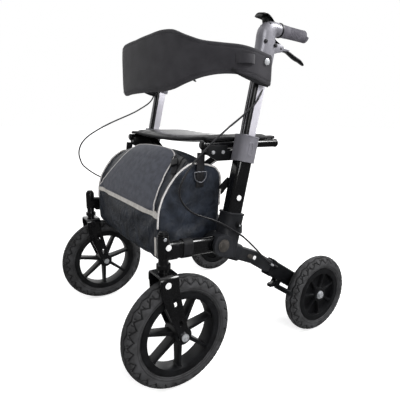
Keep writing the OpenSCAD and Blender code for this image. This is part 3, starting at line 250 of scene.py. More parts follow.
# Brushed anodised handle tube: pale grey, fine lines along it, the front painted near black as shade, with
# two thin pale stripes left on it as painted highlights
handleTube = {"x": 281, "ahead": (0, -0.9778, 0.2096), "shadedFrom": 170.5, "stripe": (4.5, 0.5),
              "shadeColour": "#0f0f11"}
brushed = surface("anodised_aluminium", {
    "dark": "#c3c1ca", "light": "#d2d0d8", "patch": 80, "grain": 1.0, "rough": (0.3, 0.42), "relief": 0.04,
    "shader": {"Metallic": 0.2}})
tree, place = brushed["tree"], brushed["place"]
lines = addNode(tree, "ShaderNodeMapping", {"Scale": (1.0, 1.0, 0.02)}, {"Vector": place})
tree.links.new(lines.outputs["Vector"], brushed["fine"].inputs["Vector"])
# painted shade: the front of the tube, past a set distance along the ahead direction, is painted near black
ahead = addNode(tree, "ShaderNodeVectorMath", {"operation": "DOT_PRODUCT", 1: handleTube["ahead"]},
                {0: place})
front = addNode(tree, "ShaderNodeMath", {"operation": "GREATER_THAN", 1: handleTube["shadedFrom"] * mm},
                {0: ahead.outputs["Value"]})
# two thin stripes on that front keep the pale colour as painted highlights
offset, half = handleTube["stripe"]
highlightLines = addNode(tree, "ShaderNodeSeparateXYZ", None, {0: place}).outputs["X"]
for step in ({"operation": "ABSOLUTE"}, {"operation": "SUBTRACT", 1: handleTube["x"] * mm},
             {"operation": "ABSOLUTE"}, {"operation": "COMPARE", 1: offset * mm, 2: half * mm}):
    highlightLines = addNode(tree, "ShaderNodeMath", step, {0: highlightLines}).outputs[0]  # ends as 1 on the two pale stripes of painted highlight
# painted shade on all of the front except the two highlight stripes
dyed = addNode(tree, "ShaderNodeMath", {"operation": "SUBTRACT", "use_clamp": True},
               {0: front.outputs[0], 1: highlightLines})
anodised = overlay(brushed, dyed.outputs[0], handleTube["shadeColour"])
print("materials:", len(bpy.data.materials))


# Mesh helpers

def placed(name, data):  # a new object in the scene
    piece = bpy.data.objects.new(name, data)
    scene.collection.objects.link(piece)
    return piece


@contextmanager
def edited(mesh):  # the mesh as a bmesh, written back at the end
    form = bmesh.new()
    form.from_mesh(mesh)
    yield form
    form.to_mesh(mesh)
    form.free()


def addPiece(name, points, faces, material, smooth=True):  # points in mm
    mesh = bpy.data.meshes.new(name)
    mesh.from_pydata((np.asarray(points, float) * mm).tolist(), [], [tuple(int(i) for i in f) for f in faces])
    mesh.materials.append(material)
    if smooth:
        mesh.shade_smooth()
    return placed(name, mesh)


def outward(piece):  # merges doubles and turns every face outwards
    with edited(piece.data) as form:
        bmesh.ops.remove_doubles(form, verts=form.verts, dist=1e-6)
        bmesh.ops.recalc_face_normals(form, faces=form.faces)
    return piece


def sharpen(piece, degrees=32):  # smooth shading that keeps real edges
    piece.data.shade_smooth()
    piece.data.set_sharp_from_angle(angle=math.radians(degrees))
    return piece


def settled(piece):  # turns live modifiers into a plain mesh
    shown = piece.evaluated_get(bpy.context.evaluated_depsgraph_get())
    mesh = bpy.data.meshes.new_from_object(shown)
    old = piece.data
    piece.modifiers.clear()
    piece.data = mesh
    mesh.name = piece.name
    bpy.data.meshes.remove(old)
    return piece


def eased(piece, width, angle, segments=2, clamp=True):  # rounds edges sharper than the angle; width in mm
    edge = piece.modifiers.new("eased edge", "BEVEL")
    edge.width = width * mm
    edge.segments = segments
    edge.limit_method = "ANGLE"
    edge.angle_limit = math.radians(angle)
    edge.use_clamp_overlap = clamp
    return settled(piece)


def fit(piece, body, node=None):  # body it rides on, CAD node it stands for, which is hidden
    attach(piece, body)
    if node:
        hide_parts(node)
    return piece


def gridFaces(rows, cols, closedRows=False, closedCols=True):
    faces = []
    for j in range(rows if closedRows else rows - 1):
        for i in range(cols if closedCols else cols - 1):
            a, b = j * cols + i, j * cols + (i + 1) % cols
            c, d = ((j + 1) % rows) * cols + (i + 1) % cols, ((j + 1) % rows) * cols + i
            faces.append((a, b, c, d))
    return faces


def loftFaces(rows, cols):  # rings of a loft with both ends shut
    return gridFaces(rows, cols) + [tuple(range(cols)), tuple(range((rows - 1) * cols, rows * cols))]


def sheetFaces(rows, cols):  # two layers of a sheet and the rim between them
    size = rows * cols
    layer = gridFaces(rows, cols, closedCols=False)
    rim = (list(range(cols)) + [r * cols + cols - 1 for r in range(1, rows)]
           + [(rows - 1) * cols + i for i in range(cols - 2, -1, -1)]
           + [r * cols for r in range(rows - 2, 0, -1)])
    return (layer + [tuple(i + size for i in f[::-1]) for f in layer]
            + [(a, b, b + size, a + size) for a, b in zip(rim, rim[1:] + rim[:1])])


def unit(rows):
    return rows / np.linalg.norm(rows, axis=-1, keepdims=True)


def heading(path, closed=False):  # unit direction along a path
    if closed:
        return unit(np.roll(path, -1, axis=0) - np.roll(path, 1, axis=0))
    return unit(np.gradient(path, axis=0))


def runOf(line):  # distance along a line at each of its points
    return np.concatenate([[0], np.cumsum(np.linalg.norm(np.diff(line, axis=0), axis=1))])


def spaced(line, places):  # points of a line at given distances along it
    run = runOf(line)
    return np.stack([np.interp(places, run, column) for column in line.T], axis=1)


def smoothPath(points, spacing):  # even points on a curve through given ones, all in mm
    pts = np.asarray(points, float)
    ends = np.vstack([2 * pts[0] - pts[1], pts, 2 * pts[-1] - pts[-2]])
    dense = []
    for p, q, r, s in zip(ends[:-3], ends[1:-2], ends[2:-1], ends[3:]):
        for t in np.linspace(0, 1, 24, endpoint=False):
            dense.append((2 * q + (r - p) * t + (2 * p - 5 * q + 4 * r - s) * t * t
                          + (3 * q - p - 3 * r + s) * t ** 3) / 2)
    dense = np.array(dense + [pts[-1]])
    total = runOf(dense)[-1]
    return spaced(dense, np.linspace(0, total, max(4, int(total / spacing) + 1)))


def superRing(count, a, b, power):  # rounded rectangle with half sizes a and b
    t = np.linspace(0, 2 * math.pi, count, endpoint=False)
    c, s = np.cos(t), np.sin(t)
    return a * np.sign(c) * np.abs(c) ** (2 / power), b * np.sign(s) * np.abs(s) ** (2 / power)


def carried(path, closed=False):  # two directions across a path that turn as little as they can
    along = heading(path, closed)
    side = np.cross(along[0], (0.3, 0.2, 0.93))
    sides = []
    for t in along:
        side = unit(side - t * np.dot(side, t))
        sides.append(side)
    return np.array(sides), np.cross(along, sides)


def addTube(name, path, radius, material, sides=12, closed=False):
    path = np.asarray(path, float)
    u, w = carried(path, closed)
    turn = np.linspace(0, 2 * math.pi, sides, endpoint=False)[None, :, None]
    points = (path[:, None] + radius * (np.cos(turn) * u[:, None] + np.sin(turn) * w[:, None])).reshape(-1, 3)
    faces = gridFaces(len(path), sides, closedRows=closed)
    if not closed:
        last = len(path) * sides
        points = np.vstack([points, path[0], path[-1]])
        faces += [(last, i, (i + 1) % sides) for i in range(sides)]
        start = last - sides
        faces += [(last + 1, start + (i + 1) % sides, start + i) for i in range(sides)]
    return outward(addPiece(name, points, faces, material))


def addRibbon(name, path, across, width, thick, material, closed=False):  # flat webbing along a path
    path = np.asarray(path, float)
    along = heading(path, closed)
    wide = np.broadcast_to(np.asarray(across, float), path.shape)
    wide = unit(wide - along * (wide * along).sum(axis=1)[:, None])
    face = np.cross(along, wide)
    section = [(-0.5, -0.3), (-0.47, -0.5), (0, -0.5), (0.47, -0.5), (0.5, -0.3),
               (0.5, 0.3), (0.47, 0.5), (0, 0.5), (-0.47, 0.5), (-0.5, 0.3)]
    rings = np.stack([path + wide * width * a + face * thick * b for a, b in section], axis=1)
    rows, cols = rings.shape[:2]
    faces = gridFaces(rows, cols, closedRows=True) if closed else loftFaces(rows, cols)
    return sharpen(outward(addPiece(name, rings.reshape(-1, 3), faces, material)), 45)


def addTurned(name, profile, centre, axis, material, steps=64):  # profile of (along, radius) in mm
    axis = Vector(axis).normalized()
    side = axis.orthogonal().normalized()
    other = axis.cross(side)
    spokes = [side * math.cos(a) + other * math.sin(a) for a in np.arange(steps) * 2 * math.pi / steps]
    points = [Vector(centre) + axis * along + spoke * max(radius, 1e-4)
              for along, radius in profile for spoke in spokes]
    piece = addPiece(name, points, gridFaces(len(profile), steps), material)
    with edited(piece.data) as form:
        bmesh.ops.remove_doubles(form, verts=form.verts, dist=2e-6)
        bmesh.ops.holes_fill(form, edges=form.edges)
        bmesh.ops.recalc_face_normals(form, faces=form.faces)
    return sharpen(piece, 35)


# Rigid pieces: the frame's own solids with eased edges

rigid = {  # node: material, record slot, width of the eased edge in mm
    "frame_joint": (jointNylon, "joint_plastic", 1.1),
    "front_tube": (glossPaint, "gloss_black", 0.5),
    "caster_head": (glossPaint, "gloss_black", 0.9),
    "rear_leg": (satinPaint, "gloss_black", 0.5),
    "axle_block": (blackAbs, "black_plastic", 1.0),
    "upright_tube": (glossPaint, "gloss_black", 0.5),
    "height_sleeve": (satinGrey, "grey_plastic", 0.4),
    "rail_rest": (blackAbs, "black_plastic", 0.8),
    "handle_tube": (anodised, "silver_paint", 0.4),
    "fork": (glossPaint, "gloss_black", 0.8),
    "front_axle": (zincSteel, "steel", 0.5),
    "front_rim": (wheelNylon, "black_plastic", 0.8),
    "front_bearings": (zincSteel, "steel", 0.3),
    "rear_rim": (wheelNylon, "black_plastic", 0.8),
    "rear_bearings": (zincSteel, "steel", 0.3),
    "rear_axle": (zincSteel, "steel", 0.5),
    "brake_arm": (blackAbs, "black_plastic", 0.7),
    "seat_rail": (glossPaint, "gloss_black", 0.6),
}
middle = {"cross_bar_a": (glossPaint, "gloss_black", 0.6), "cross_bar_b": (glossPaint, "gloss_black", 0.6),
          "centre_bolt": (zincSteel, "steel", 0.5)}


def easeEdges(nodeName, material, slotName, width):
    source = cadNodes[nodeName]
    piece = placed(nodeName + "_finished", source.data.copy())
    with edited(piece.data) as form:
        bmesh.ops.remove_doubles(form, verts=form.verts, dist=2e-6)
        bmesh.ops.dissolve_limit(form, angle_limit=math.radians(0.8), verts=form.verts, edges=form.edges)
    if piece.data.has_custom_normals:
        with bpy.context.temp_override(object=piece, active_object=piece, selected_objects=[piece]):
            bpy.ops.mesh.customdata_custom_splitnormals_clear()
    piece.data.materials.clear()
    piece.data.materials.append(material)
    sharpen(eased(piece, width, 38, clamp=False), 40)
    return fit(piece, source["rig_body"], nodeName)


for base, look in rigid.items():
    for side, sign in bothSides:
        easeEdges(f"{base}_{side}", *look)
for nodeName, look in middle.items():
    easeEdges(nodeName, *look)


fasteners = {  # node and eased edge in mm: its pieces, with material, record slot and middles on the left
    ("frame_bolts", 0.6): {
        "clamp_knob": (blackAbs, "black_plastic", [(310, -70, 410)]),
        "lobe_cap": (capNylon, "joint_plastic", [(309, -116, 361)]),
        "leg_capsule": (capNylon, "joint_plastic", [(270, 8, 295)]),
        "leg_disc": (whiteVinyl, "steel", [(269, 25, 287)]),
        "rest_bolts": (zincSteel, "steel", [(258, -120, 598), (258, -89, 598)]),
        "frame_pins": (blackSteel, "steel", [(240, -48, 378), (254, 128, 178)]),
        "caster_cap": (blackAbs, "black_plastic", [(295, -284, 418)])},
    ("head_screws", 0.4): {
        "backrest_bolt": (zincSteel, "steel", [(307, -4, 821)]),
        "handle_pins": (blackSteel, "steel", [(281, 20, 916), (281, 64, 862)]),
        "head_rings": (blackSteel, "steel", [(300, 3, 873), (300, 37, 865)])}}


def looseParts(mesh):  # sets of vertex numbers that hang together
    links = [[] for _ in mesh.vertices]
    for edge in mesh.edges:
        a, b = edge.vertices
        links[a].append(b)
        links[b].append(a)
    left, parts = set(range(len(links))), []
    while left:
        queue = [left.pop()]
        part = set(queue)
        while queue:
            fresh = [v for v in links[queue.pop()] if v in left]
            left.difference_update(fresh)
            part.update(fresh)
            queue += fresh
        parts.append(part)
    return parts


def splitNode(base, side, sign, width, looks):  # one piece for each look of a node of loose fasteners
    nodeName = f"{base}_{side}"
    whole = easeEdges(nodeName, zincSteel, "steel", width)
    places = np.array([v.co for v in whole.data.vertices]) / mm * (sign, 1, 1)
    chosen = {name: set() for name in looks}
    for part in looseParts(whole.data):
        spots = places[list(part)]
        centre = (spots.min(axis=0) + spots.max(axis=0)) / 2
        away = {name: min(np.linalg.norm(centre - q) for q in look[2]) for name, look in looks.items()}
        chosen[min(away, key=away.get)] |= part
    for name, (material, slotName, _) in looks.items():
        mesh = whole.data.copy()
        mesh.name = f"{name}_{side}"
        with edited(mesh) as form:
            form.verts.ensure_lookup_table()
            others = [v for v in form.verts if v.index not in chosen[name]]
            bmesh.ops.delete(form, geom=others, context="VERTS")
        mesh.materials[0] = material
        piece = sharpen(placed(f"{name}_{side}", mesh), 40)
        fit(piece, cadNodes[nodeName]["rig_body"], nodeName)
    bpy.data.objects.remove(whole)


for (base, width), looks in fasteners.items():
    for side, sign in bothSides:
        splitNode(base, side, sign, width, looks)
print("rigid pieces:", 2 * len(rigid) + len(middle))


# Tyres with a cut tread

tyres = {
    "front": {"radius": 152.5, "width": 52, "bead": 106, "flange": 6, "blocks": 28,
              "axle": (295, -245.5, 152.5)},
    "rear": {"radius": 125.5, "width": 47, "bead": 82, "flange": 6, "blocks": 23,
             "axle": (295, 272.5, 125.5)}}
tread = {  # lines and slits as shares of the way from the crown to the side, cuts in mm
    "innerLine": 0.25, "innerSwing": 0.07, "outerLine": 0.68, "outerSwing": 0.19, "cut": 2.5, "deep": 3.6,
    "slit": (0.42, 0.62), "slitCut": 0.8, "wall": 1.02, "sideGrooves": (4.0, 9.0, 15.0), "sideCut": 0.9,
    "sideDeep": 1.1, "wrap": 98, "around": 720, "across": 84}


def saw(u):  # triangle wave from -1 to 1
    return 2 * np.abs(2 * (u % 1) - 1) - 1


def addTyre(name, tyre, sign):
    half = tyre["width"] / 2
    neck = tyre["bead"] + tyre["flange"] + 0.3
    seatHalf = half - 7  # the bead, between the rim's flanges
    arc = np.linspace(-1, 1, tread["across"]) * math.radians(tread["wrap"])
    outer = np.stack([half * np.sin(arc), tyre["radius"] - half + half * np.cos(arc)], axis=1)
    wall = smoothPath([(outer[-1][0], outer[-1][1], 0), (half - 1.2, neck + 6, 0), (half - 4, neck + 2, 0),
                       (seatHalf, neck + 0.1, 0), (seatHalf, tyre["bead"] + 0.4, 0)], 1.3)[1:, :2]
    profile = np.vstack([wall[::-1] * (-1, 1), outer, wall])
    s = np.concatenate([np.full(len(wall), -9.0), arc / math.radians(90), np.full(len(wall), 9.0)])[None, :]
    turn = np.linspace(0, 1, tread["around"], endpoint=False)[:, None]
    u = turn * tyre["blocks"] + 0.25 * np.sign(s)  # the two sides are half a block apart
    reach = half * math.pi / 2  # mm from the crown line to the side of the tyre
    inner = np.abs(np.abs(s) - tread["innerLine"] - tread["innerSwing"] * saw(u)) * reach
    shoulder = np.abs(np.abs(s) - tread["outerLine"] - tread["outerSwing"] * saw(u + 0.5)) * reach
    pitch = 2 * math.pi * tyre["radius"] / tyre["blocks"]
    across = np.abs(u % 0.5 - 0.25) * pitch + tread["slitCut"]
    across = np.where((np.abs(s) > tread["slit"][0]) & (np.abs(s) < tread["slit"][1]), across, 99)
    slot = np.minimum(np.minimum(inner, shoulder), across)
    deep = tread["deep"] * np.clip(1.35 - slot / tread["cut"], 0, 1)
    deep = np.where(np.abs(s) > tread["wall"], 0, deep)
    lean = np.clip(s, -1, 1) * math.pi / 2
    radius = profile[:, 1] - deep * np.cos(lean)
    axial = profile[:, 0] - deep * np.sin(lean)
    # painted shade: darker where the tread is cut deeper, and in the ring grooves on the side wall
    dark = 0.9 * deep / tread["deep"]
    for ringGroove in tread["sideGrooves"]:
        sink = np.exp(-((radius - neck - ringGroove) / tread["sideCut"]) ** 2) * (np.abs(s) > tread["wall"])
        axial -= np.sign(axial) * tread["sideDeep"] * sink
        dark = np.maximum(dark, 0.7 * sink)
    angle = 2 * math.pi * turn
    x, y, z = tyre["axle"]
    points = np.stack([sign * x + axial, y + radius * np.cos(angle), z + radius * np.sin(angle)], axis=2)
    faces = gridFaces(len(turn), len(profile), closedRows=True)
    piece = outward(addPiece(name, points.reshape(-1, 3), faces, tyreRubberGrooveShade))
    # the painted groove shade is kept on the points for the tyre material
    sunk = piece.data.attributes.new("groove", "FLOAT", "POINT")
    sunk.data.foreach_set("value", np.clip(dark, 0, 1).ravel())
    return piece


for side, sign in bothSides:
    for end, tyre in tyres.items():
        piece = addTyre(f"{end}_tread_{side}", tyre, sign)
        fit(piece, f"{side}_{end}_wheel", f"{end}_tyre_{side}")
print("tyres cut")


# Brake cables

cableRoutes = {
    "left": [(286, 20, 776), (291, 9, 762), (297, -3, 746), (301, -15, 732), (303, -32, 715), (303, -69, 687),
             (302, -114, 656), (302, -175, 609), (302, -216, 569), (302, -240, 531), (302, -244, 507),
             (304, -233, 482), (306, -204, 457), (309, -136, 428)],
    "right": [(-286, -22.14, 784.1), (-286, -24.14, 775), (-288, -29, 757), (-292, -45, 738),
              (-296, -76, 718), (-299, -112, 699), (-302, -201, 661), (-304, -267, 625), (-305, -299, 596),
              (-305, -312, 565), (-305, -309, 535), (-304, -294, 508), (-304, -238, 468), (-308, -136, 428)]}
cableEnd = [(310, -70, 387), (303, -38, 364), (290, 10, 324), (280, 44, 293.5), (274, 73, 268.5),
            (273, 95, 251)]
cableLook = {"diameter": 5.0, "spacing": 6.0}
releaseCable = {"path": [(286, 12, 777), (288, 1, 762), (289, -10, 748), (287, -21, 735), (283, -28, 724),
                         (281, -29, 714)], "diameter": 4.4}
for side, sign in bothSides:
    path = smoothPath(np.vstack([cableRoutes[side], np.array(cableEnd) * (sign, 1, 1)]), cableLook["spacing"])
    piece = addTube(f"brake_cable_cover_{side}", path, cableLook["diameter"] / 2, cablePvc)
    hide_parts(f"brake_cable_{side}")
    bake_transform(piece)
    tail = smoothPath(np.array(releaseCable["path"]) * (sign, 1, 1), 3)
    tail = addTube(f"release_cable_cover_{side}", tail, releaseCable["diameter"] / 2, cablePvc)
    fit(tail, f"{side}_handle")
    print("cable", side, round(float(runOf(path)[-1])), "mm")


# Stitches by Geometry Nodes

def stitchTree():
    tree = bpy.data.node_groups.new("stitch row", "GeometryNodeTree")
    for label, kind in (("Path", "Geometry"), ("Spacing", "Float"), ("Length", "Float"),
                        ("Thickness", "Float"), ("Thread", "Material")):
        tree.interface.new_socket(label, in_out="INPUT", socket_type="NodeSocket" + kind)
    tree.interface.new_socket("Stitches", in_out="OUTPUT", socket_type="NodeSocketGeometry")
    given = addNode(tree, "NodeGroupInput").outputs
    row = addNode(tree, "GeometryNodeMeshToCurve", None, {"Mesh": given["Path"]})
    even = addNode(tree, "GeometryNodeResampleCurve", {"mode": "LENGTH"},
                   {"Curve": row.outputs["Curve"], "Length": given["Spacing"]})
    tangent = addNode(tree, "GeometryNodeInputTangent")
    aim = addNode(tree, "FunctionNodeAlignRotationToVector", {"axis": "Z"},
                  {"Vector": tangent.outputs["Tangent"]})
    bead = addNode(tree, "GeometryNodeMeshUVSphere", {"Segments": 6, "Rings": 4, "Radius": 0.5})
    size = addNode(tree, "ShaderNodeCombineXYZ", None,
                   {"X": given["Thickness"], "Y": given["Thickness"], "Z": given["Length"]})
    each = addNode(tree, "GeometryNodeInstanceOnPoints", None,
                   {"Points": even.outputs["Curve"], "Instance": bead.outputs["Mesh"],
                    "Rotation": aim.outputs["Rotation"], "Scale": size.outputs["Vector"]})
    real = addNode(tree, "GeometryNodeRealizeInstances", None, {"Geometry": each.outputs["Instances"]})
    dyed = addNode(tree, "GeometryNodeSetMaterial", None,
                   {"Geometry": real.outputs["Geometry"], "Material": given["Thread"]})
    addNode(tree, "NodeGroupOutput", None, {"Stitches": dyed.outputs["Geometry"]})
    return tree


stitches = stitchTree()


def addStitches(name, paths, sizes, material=thread):  # sizes in mm
    points, edges = [], []
    for path in paths:
        start = len(points)
        points += [tuple(p) for p in np.asarray(path) * mm]
        edges += [(i, i + 1) for i in range(start, len(points) - 1)]
    mesh = bpy.data.meshes.new(name)
    mesh.from_pydata(points, edges, [])
    piece = placed(name, mesh)
    made = piece.modifiers.new("stitch row", "NODES")
    made.node_group = stitches
    for item in stitches.interface.items_tree:
        if item.in_out == "INPUT" and item.name in sizes:
            made[item.identifier] = sizes[item.name] * mm
        elif item.name == "Thread":
            made[item.identifier] = material
    settled(piece)
    piece.data.shade_smooth()
    return piece


# Swelling cloth, for padded pieces

def swell(piece, cloth, held=None):
    start = np.array([v.co for v in piece.data.vertices])
    rules = piece.modifiers.new("cloth", "CLOTH").settings
    rules.quality = 6
    rules.mass = 0.3
    rules.tension_stiffness = rules.compression_stiffness = cloth.get("tension", 15)
    rules.bending_stiffness = cloth.get("bending", 0.5)
    rules.use_pressure = True
    rules.uniform_pressure_force = cloth["pressure"]
    rules.shrink_min = cloth.get("shrink", 0.0)
    rules.effector_weights.gravity = cloth.get("gravity", 0.0)
    if held is not None:
        group = piece.vertex_groups.new(name="held")
        group.add([int(i) for i in held], 1.0, "REPLACE")
        rules.vertex_group_mass = "held"
    for step in range(1, cloth.get("frames", 20) + 1):
        scene.frame_set(step)
    shown = piece.evaluated_get(bpy.context.evaluated_depsgraph_get())
    moved = np.array([v.co for v in shown.data.vertices])
    scene.frame_set(1)
    piece.modifiers.clear()
    piece.vertex_groups.clear()
    step = np.nan_to_num(moved - start)
    far = np.linalg.norm(step, axis=1)[:, None]
    step *= np.minimum(1, cloth["cap"] * mm / np.maximum(far, 1e-9))
    piece.data.vertices.foreach_set("co", (start + step).ravel())
    piece.data.update()
    return piece


# Backrest: a bent band of foam with a sewn border

backBand = {"halfWidth": 307.3, "straightY": -25, "endY": 18, "bulge": 187, "border": 9.0, "groove": 1.5,
            "stations": 320, "around": 84, "endRound": 6.0,
            "edges": [(0, 752, 898, 10), (75, 752, 901, 10), (135, 752, 904, 10), (165, 756, 901, 10),
                      (205, 769, 885, 9.5), (250, 782, 869, 9), (300, 789, 861, 8), (350, 787, 856, 7.5),
                      (400, 774, 846, 7), (433, 764, 839, 7), (470, 756, 836, 7)]}


def smoothTable(rows, q):  # columns of a table at q, on a smooth curve through its rows
    rows = np.array(rows, float)
    slope = np.gradient(rows[:, 1:], rows[:, 0], axis=0)
    i = int(np.clip(np.searchsorted(rows[:, 0], q) - 1, 0, len(rows) - 2))
    step = rows[i + 1, 0] - rows[i, 0]
    t = (q - rows[i, 0]) / step
    return ((2 * t ** 3 - 3 * t ** 2 + 1) * rows[i, 1:] + (t ** 3 - 2 * t ** 2 + t) * step * slope[i]
            + (3 * t ** 2 - 2 * t ** 3) * rows[i + 1, 1:] + (t ** 3 - t ** 2) * step * slope[i + 1])


def bandPlan():  # plan curve from the left end to the right, evenly spaced, with its normals and run
    half, y0, y1, bulge = (backBand[k] for k in ("halfWidth", "straightY", "endY", "bulge"))
    line = [(half, y) for y in np.linspace(y1, y0, 40, endpoint=False)]
    line += [(half * math.cos(t), y0 - bulge * math.sin(t)) for t in np.linspace(0, math.pi, 900)]
    line = np.array(line + [(-half, y) for y in np.linspace(y0, y1, 40)[1:]])
    run = np.linspace(0, runOf(line)[-1], backBand["stations"])
    plan = spaced(line, run)
    along = heading(plan)
    return plan, np.stack([-along[:, 1], along[:, 0]], axis=1), run


def bandSection(count):  # rounded section with half sizes 1, evenly spaced round it
    t = np.linspace(0, 2 * math.pi, 4000, endpoint=False)
    c, s = np.cos(t), np.sin(t)
    deep, high = 10, 73
    loop = np.stack([deep * np.sign(c) * np.abs(c) ** 0.6, high * np.sign(s) * np.abs(s) ** 0.42], axis=1)
    loop = np.vstack([loop, loop[:1]])
    return spaced(loop, np.linspace(0, runOf(loop)[-1], count, endpoint=False)) / (deep, high)


def addBand():
    plan, out, run = bandPlan()
    section = bandSection(backBand["around"])
    total, rounding, groove = run[-1], backBand["endRound"], backBand["groove"]
    points, seams = [], {(face, height): [] for face in (1, -1) for height in (1, -1)}
    for (x, y), n, s in zip(plan, out, run):
        if x * n[0] + (y - backBand["straightY"]) * n[1] < 0:
            n = -n
        low, high, thick = smoothTable(backBand["edges"], abs(s - total / 2))
        shut = math.sqrt(max(0.0, 1 - (1 - min(1, min(s, total - s) / rounding)) ** 2)) * 0.97 + 0.03
        midZ, halfZ = (low + high) / 2, (high - low) / 2 - (1 - shut) * rounding
        for a, b in section:
            z = b * halfZ
            border = halfZ - abs(z) - backBand["border"]
            dent = groove * math.exp(-(border / 1.5) ** 2) * (abs(a) > 0.3)
            lift = a * thick * shut * (1 - dent / thick)
            points.append((x + lift * n[0], y + lift * n[1], midZ + z))
        if 12 < s < total - 12:
            for (face, height), seam in seams.items():
                reach = face * (thick - groove + 0.5) * 0.985
                z = midZ + height * (halfZ - backBand["border"])
                seam.append((x + reach * n[0], y + reach * n[1], z))
    band = addPiece("backrest_band", points, loftFaces(len(plan), len(section)), foamKnit)
    return outward(band), list(seams.values())


backLoop = {"path": [(301, -89), (309.5, -86), (319, -78), (324.5, -66), (323.5, -54), (315.5, -44)],
            "z": 823, "width": 21, "thick": 1.6}
backStrip = {"path": [(294, -92, 807), (300, -76, 799), (304.5, -60, 792), (306.6, -42, 786),
                      (307.3, -24, 780.5), (307.3, 12, 774)], "width": 25, "thick": 3.0}
backStitch = {"Spacing": 5.0, "Length": 3.6, "Thickness": 1.1}
band, bandSeams = addBand()
fit(band, "left_handle", "backrest")
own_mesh(band)
backTrim = []
for side, sign in bothSides:
    tab = smoothPath([(sign * x, y, backLoop["z"]) for x, y in backLoop["path"]], 2)
    strip = smoothPath(np.array(backStrip["path"]) * (sign, 1, 1), 4)
    for label, path, look, material in (("loop", tab, backLoop, foamKnit),
                                        ("strip", strip, backStrip, webbing)):
        name = f"backrest_{label}_{side}"
        backTrim.append(addRibbon(name, path, (0, 0, 1), look["width"], look["thick"], material))
backTrim.append(addStitches("backrest_stitches", bandSeams, backStitch))
for piece in backTrim:
    fit(piece, "left_handle")
    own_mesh(piece)
print("backrest sewn")


# Seat: a crowned pad slung between the rails

seatPad = {"halfWidth": 250, "halfLength": 119.5, "midY": -16.5, "low": 627.3, "thick": 15, "sag": 12,
           "draw": 8, "crown": 3, "railX": 240, "restX": 222, "voxel": 5.0, "around": 96, "across": 61,
           "round": 3.2, "before": (0.99, 0.985, 0.86)}  # before: its size before it swells
seatPuff = {"pressure": 3.5, "cap": 5.0}
seatEdge = {"radius": 4.6, "inset": 0.985, "rail": 0.96, "side": 0.97, "corner": 0.985}


def seatPoint(t, a, b):  # place on the pad: t across, a along, b through the thickness, each -1 to 1
    x = seatPad["halfWidth"] * t
    dip = max(0.0, 1 - (x / (seatPad["railX"] - 4)) ** 2)
    half = seatPad["thick"] / 2 * (1 - 0.35 * abs(t) ** 8)
    y = a * (seatPad["halfLength"] - seatPad["draw"] * dip)
    crown = seatPad["crown"] * (1 - (y / seatPad["halfLength"]) ** 2)
    return x, seatPad["midY"] + y, seatPad["low"] + half + b * half + (crown - seatPad["sag"]) * dip


def addSeat():
    around, across = seatPad["around"], seatPad["across"]
    ring = list(zip(*superRing(around, 1, 1, seatPad["round"])))
    i, j, k = seatPad["before"]
    points = [seatPoint(t * i, p * j, q * k) for t in np.sin(np.linspace(-1, 1, across) * math.pi / 2)
              for p, q in ring]
    pad = outward(addPiece("seat_pad", points, loftFaces(across, around), seatCloth))
    remesh = pad.modifiers.new("even mesh", "REMESH")
    remesh.mode = "VOXEL"
    remesh.voxel_size = seatPad["voxel"] * mm
    swell(settled(pad), seatPuff)
    places = np.array([v.co for v in pad.data.vertices])
    near = np.abs(places[:, 0]) > seatPad["restX"] * mm  # over the rails it stays above them
    places[near, 2] = np.maximum(places[near, 2], (seatPad["low"] + 0.2) * mm)
    pad.data.vertices.foreach_set("co", places.ravel())
    finer = pad.modifiers.new("finer", "SUBSURF")
    finer.levels = finer.render_levels = 1
    settled(pad)
    pad.data.materials.clear()
    pad.data.materials.append(seatCloth)
    pad.data.shade_smooth()
    return pad


pad = fit(addSeat(), "seat_body", "seat")
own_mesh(pad)
ways = np.linspace(-1, 1, 50, endpoint=False)
rim = []
for turn in (1, -1):  # along one rail, then along the next open side
    rim += [seatPoint(turn, turn * a, 0) for a in ways * seatEdge["rail"]]
    rim += [seatPoint(-turn * t, turn * seatEdge["side"], 0) for t in ways * seatEdge["corner"]]
rim = np.array(rim) * (seatEdge["inset"], 1, 1)
binding = addTube("seat_binding", rim, seatEdge["radius"], webbing, 14, closed=True)
fit(binding, "seat_body")
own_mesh(binding)
print("seat filled")


# Bag: a lofted shell that sags between its seams

bagShape = {"halfWidth": 236, "front": -272, "rear": -77, "low": 322, "height": 251, "lid": 36, "draw": 3,
            "rings": 61, "frontAt": 64,  # below: depth, height and share of the lid
            "outline": [(1, 0.8, 0.3), (0.98, 0.89, 0.6), (0.88, 0.965, 0.95), (0.57, 1, 1),
                        (0.49, 0.995, 0.95), (0.31, 0.915, 0.75), (0.165, 0.785, 0.5), (0.06, 0.65, 0.25),
                        (0, 0.49, 0), (0, 0.085, 0), (0.02, 0.025, 0), (0.08, 0, 0), (0.92, 0, 0),
                        (0.95, 0.17, 0)]}
bagSide = {"loops": 12, "bulge": 5}
bagSag = {"pressure": 0.8, "cap": 9.0, "gravity": 0.6, "shrink": -0.02, "tension": 12, "bending": 0.3,
          "frames": 24}
bagLid = {"low": 447, "thick": 3.0, "piping": 1.9, "pipingLift": 2.6,
          "top": 22, "foot": 78,  # places round the outline
          "right": [(0, 197), (0.19, 194), (0.46, 187), (0.68, 175), (0.86, 150), (1, 112)],
          "left": [(0, -232), (0.19, -200), (0.46, -146), (0.7, -120), (1, -95)]}
bagZip = {"line": [(0, 150, 600), (0.2, 179, 584), (0.45, 202, 564), (0.7, 220, 535), (1, 233, 496)],
          "width": 20, "teeth": {"Spacing": 3.2, "Length": 1.8, "Thickness": 4.4}}
bagStripe = {"top": 449, "low": 434, "reach": 233}
bagSeam = {"z": 431.5, "reach": 230, "stitch": {"Spacing": 5.0, "Length": 3.4, "Thickness": 1.0}}
bagCorner = {"x": 229.5, "y": -274, "z": (388, 339), "width": 9, "thick": 1.2}
bagPiping = {"x": 234.5, "from": 410, "to": -7, "radius": 2.4}
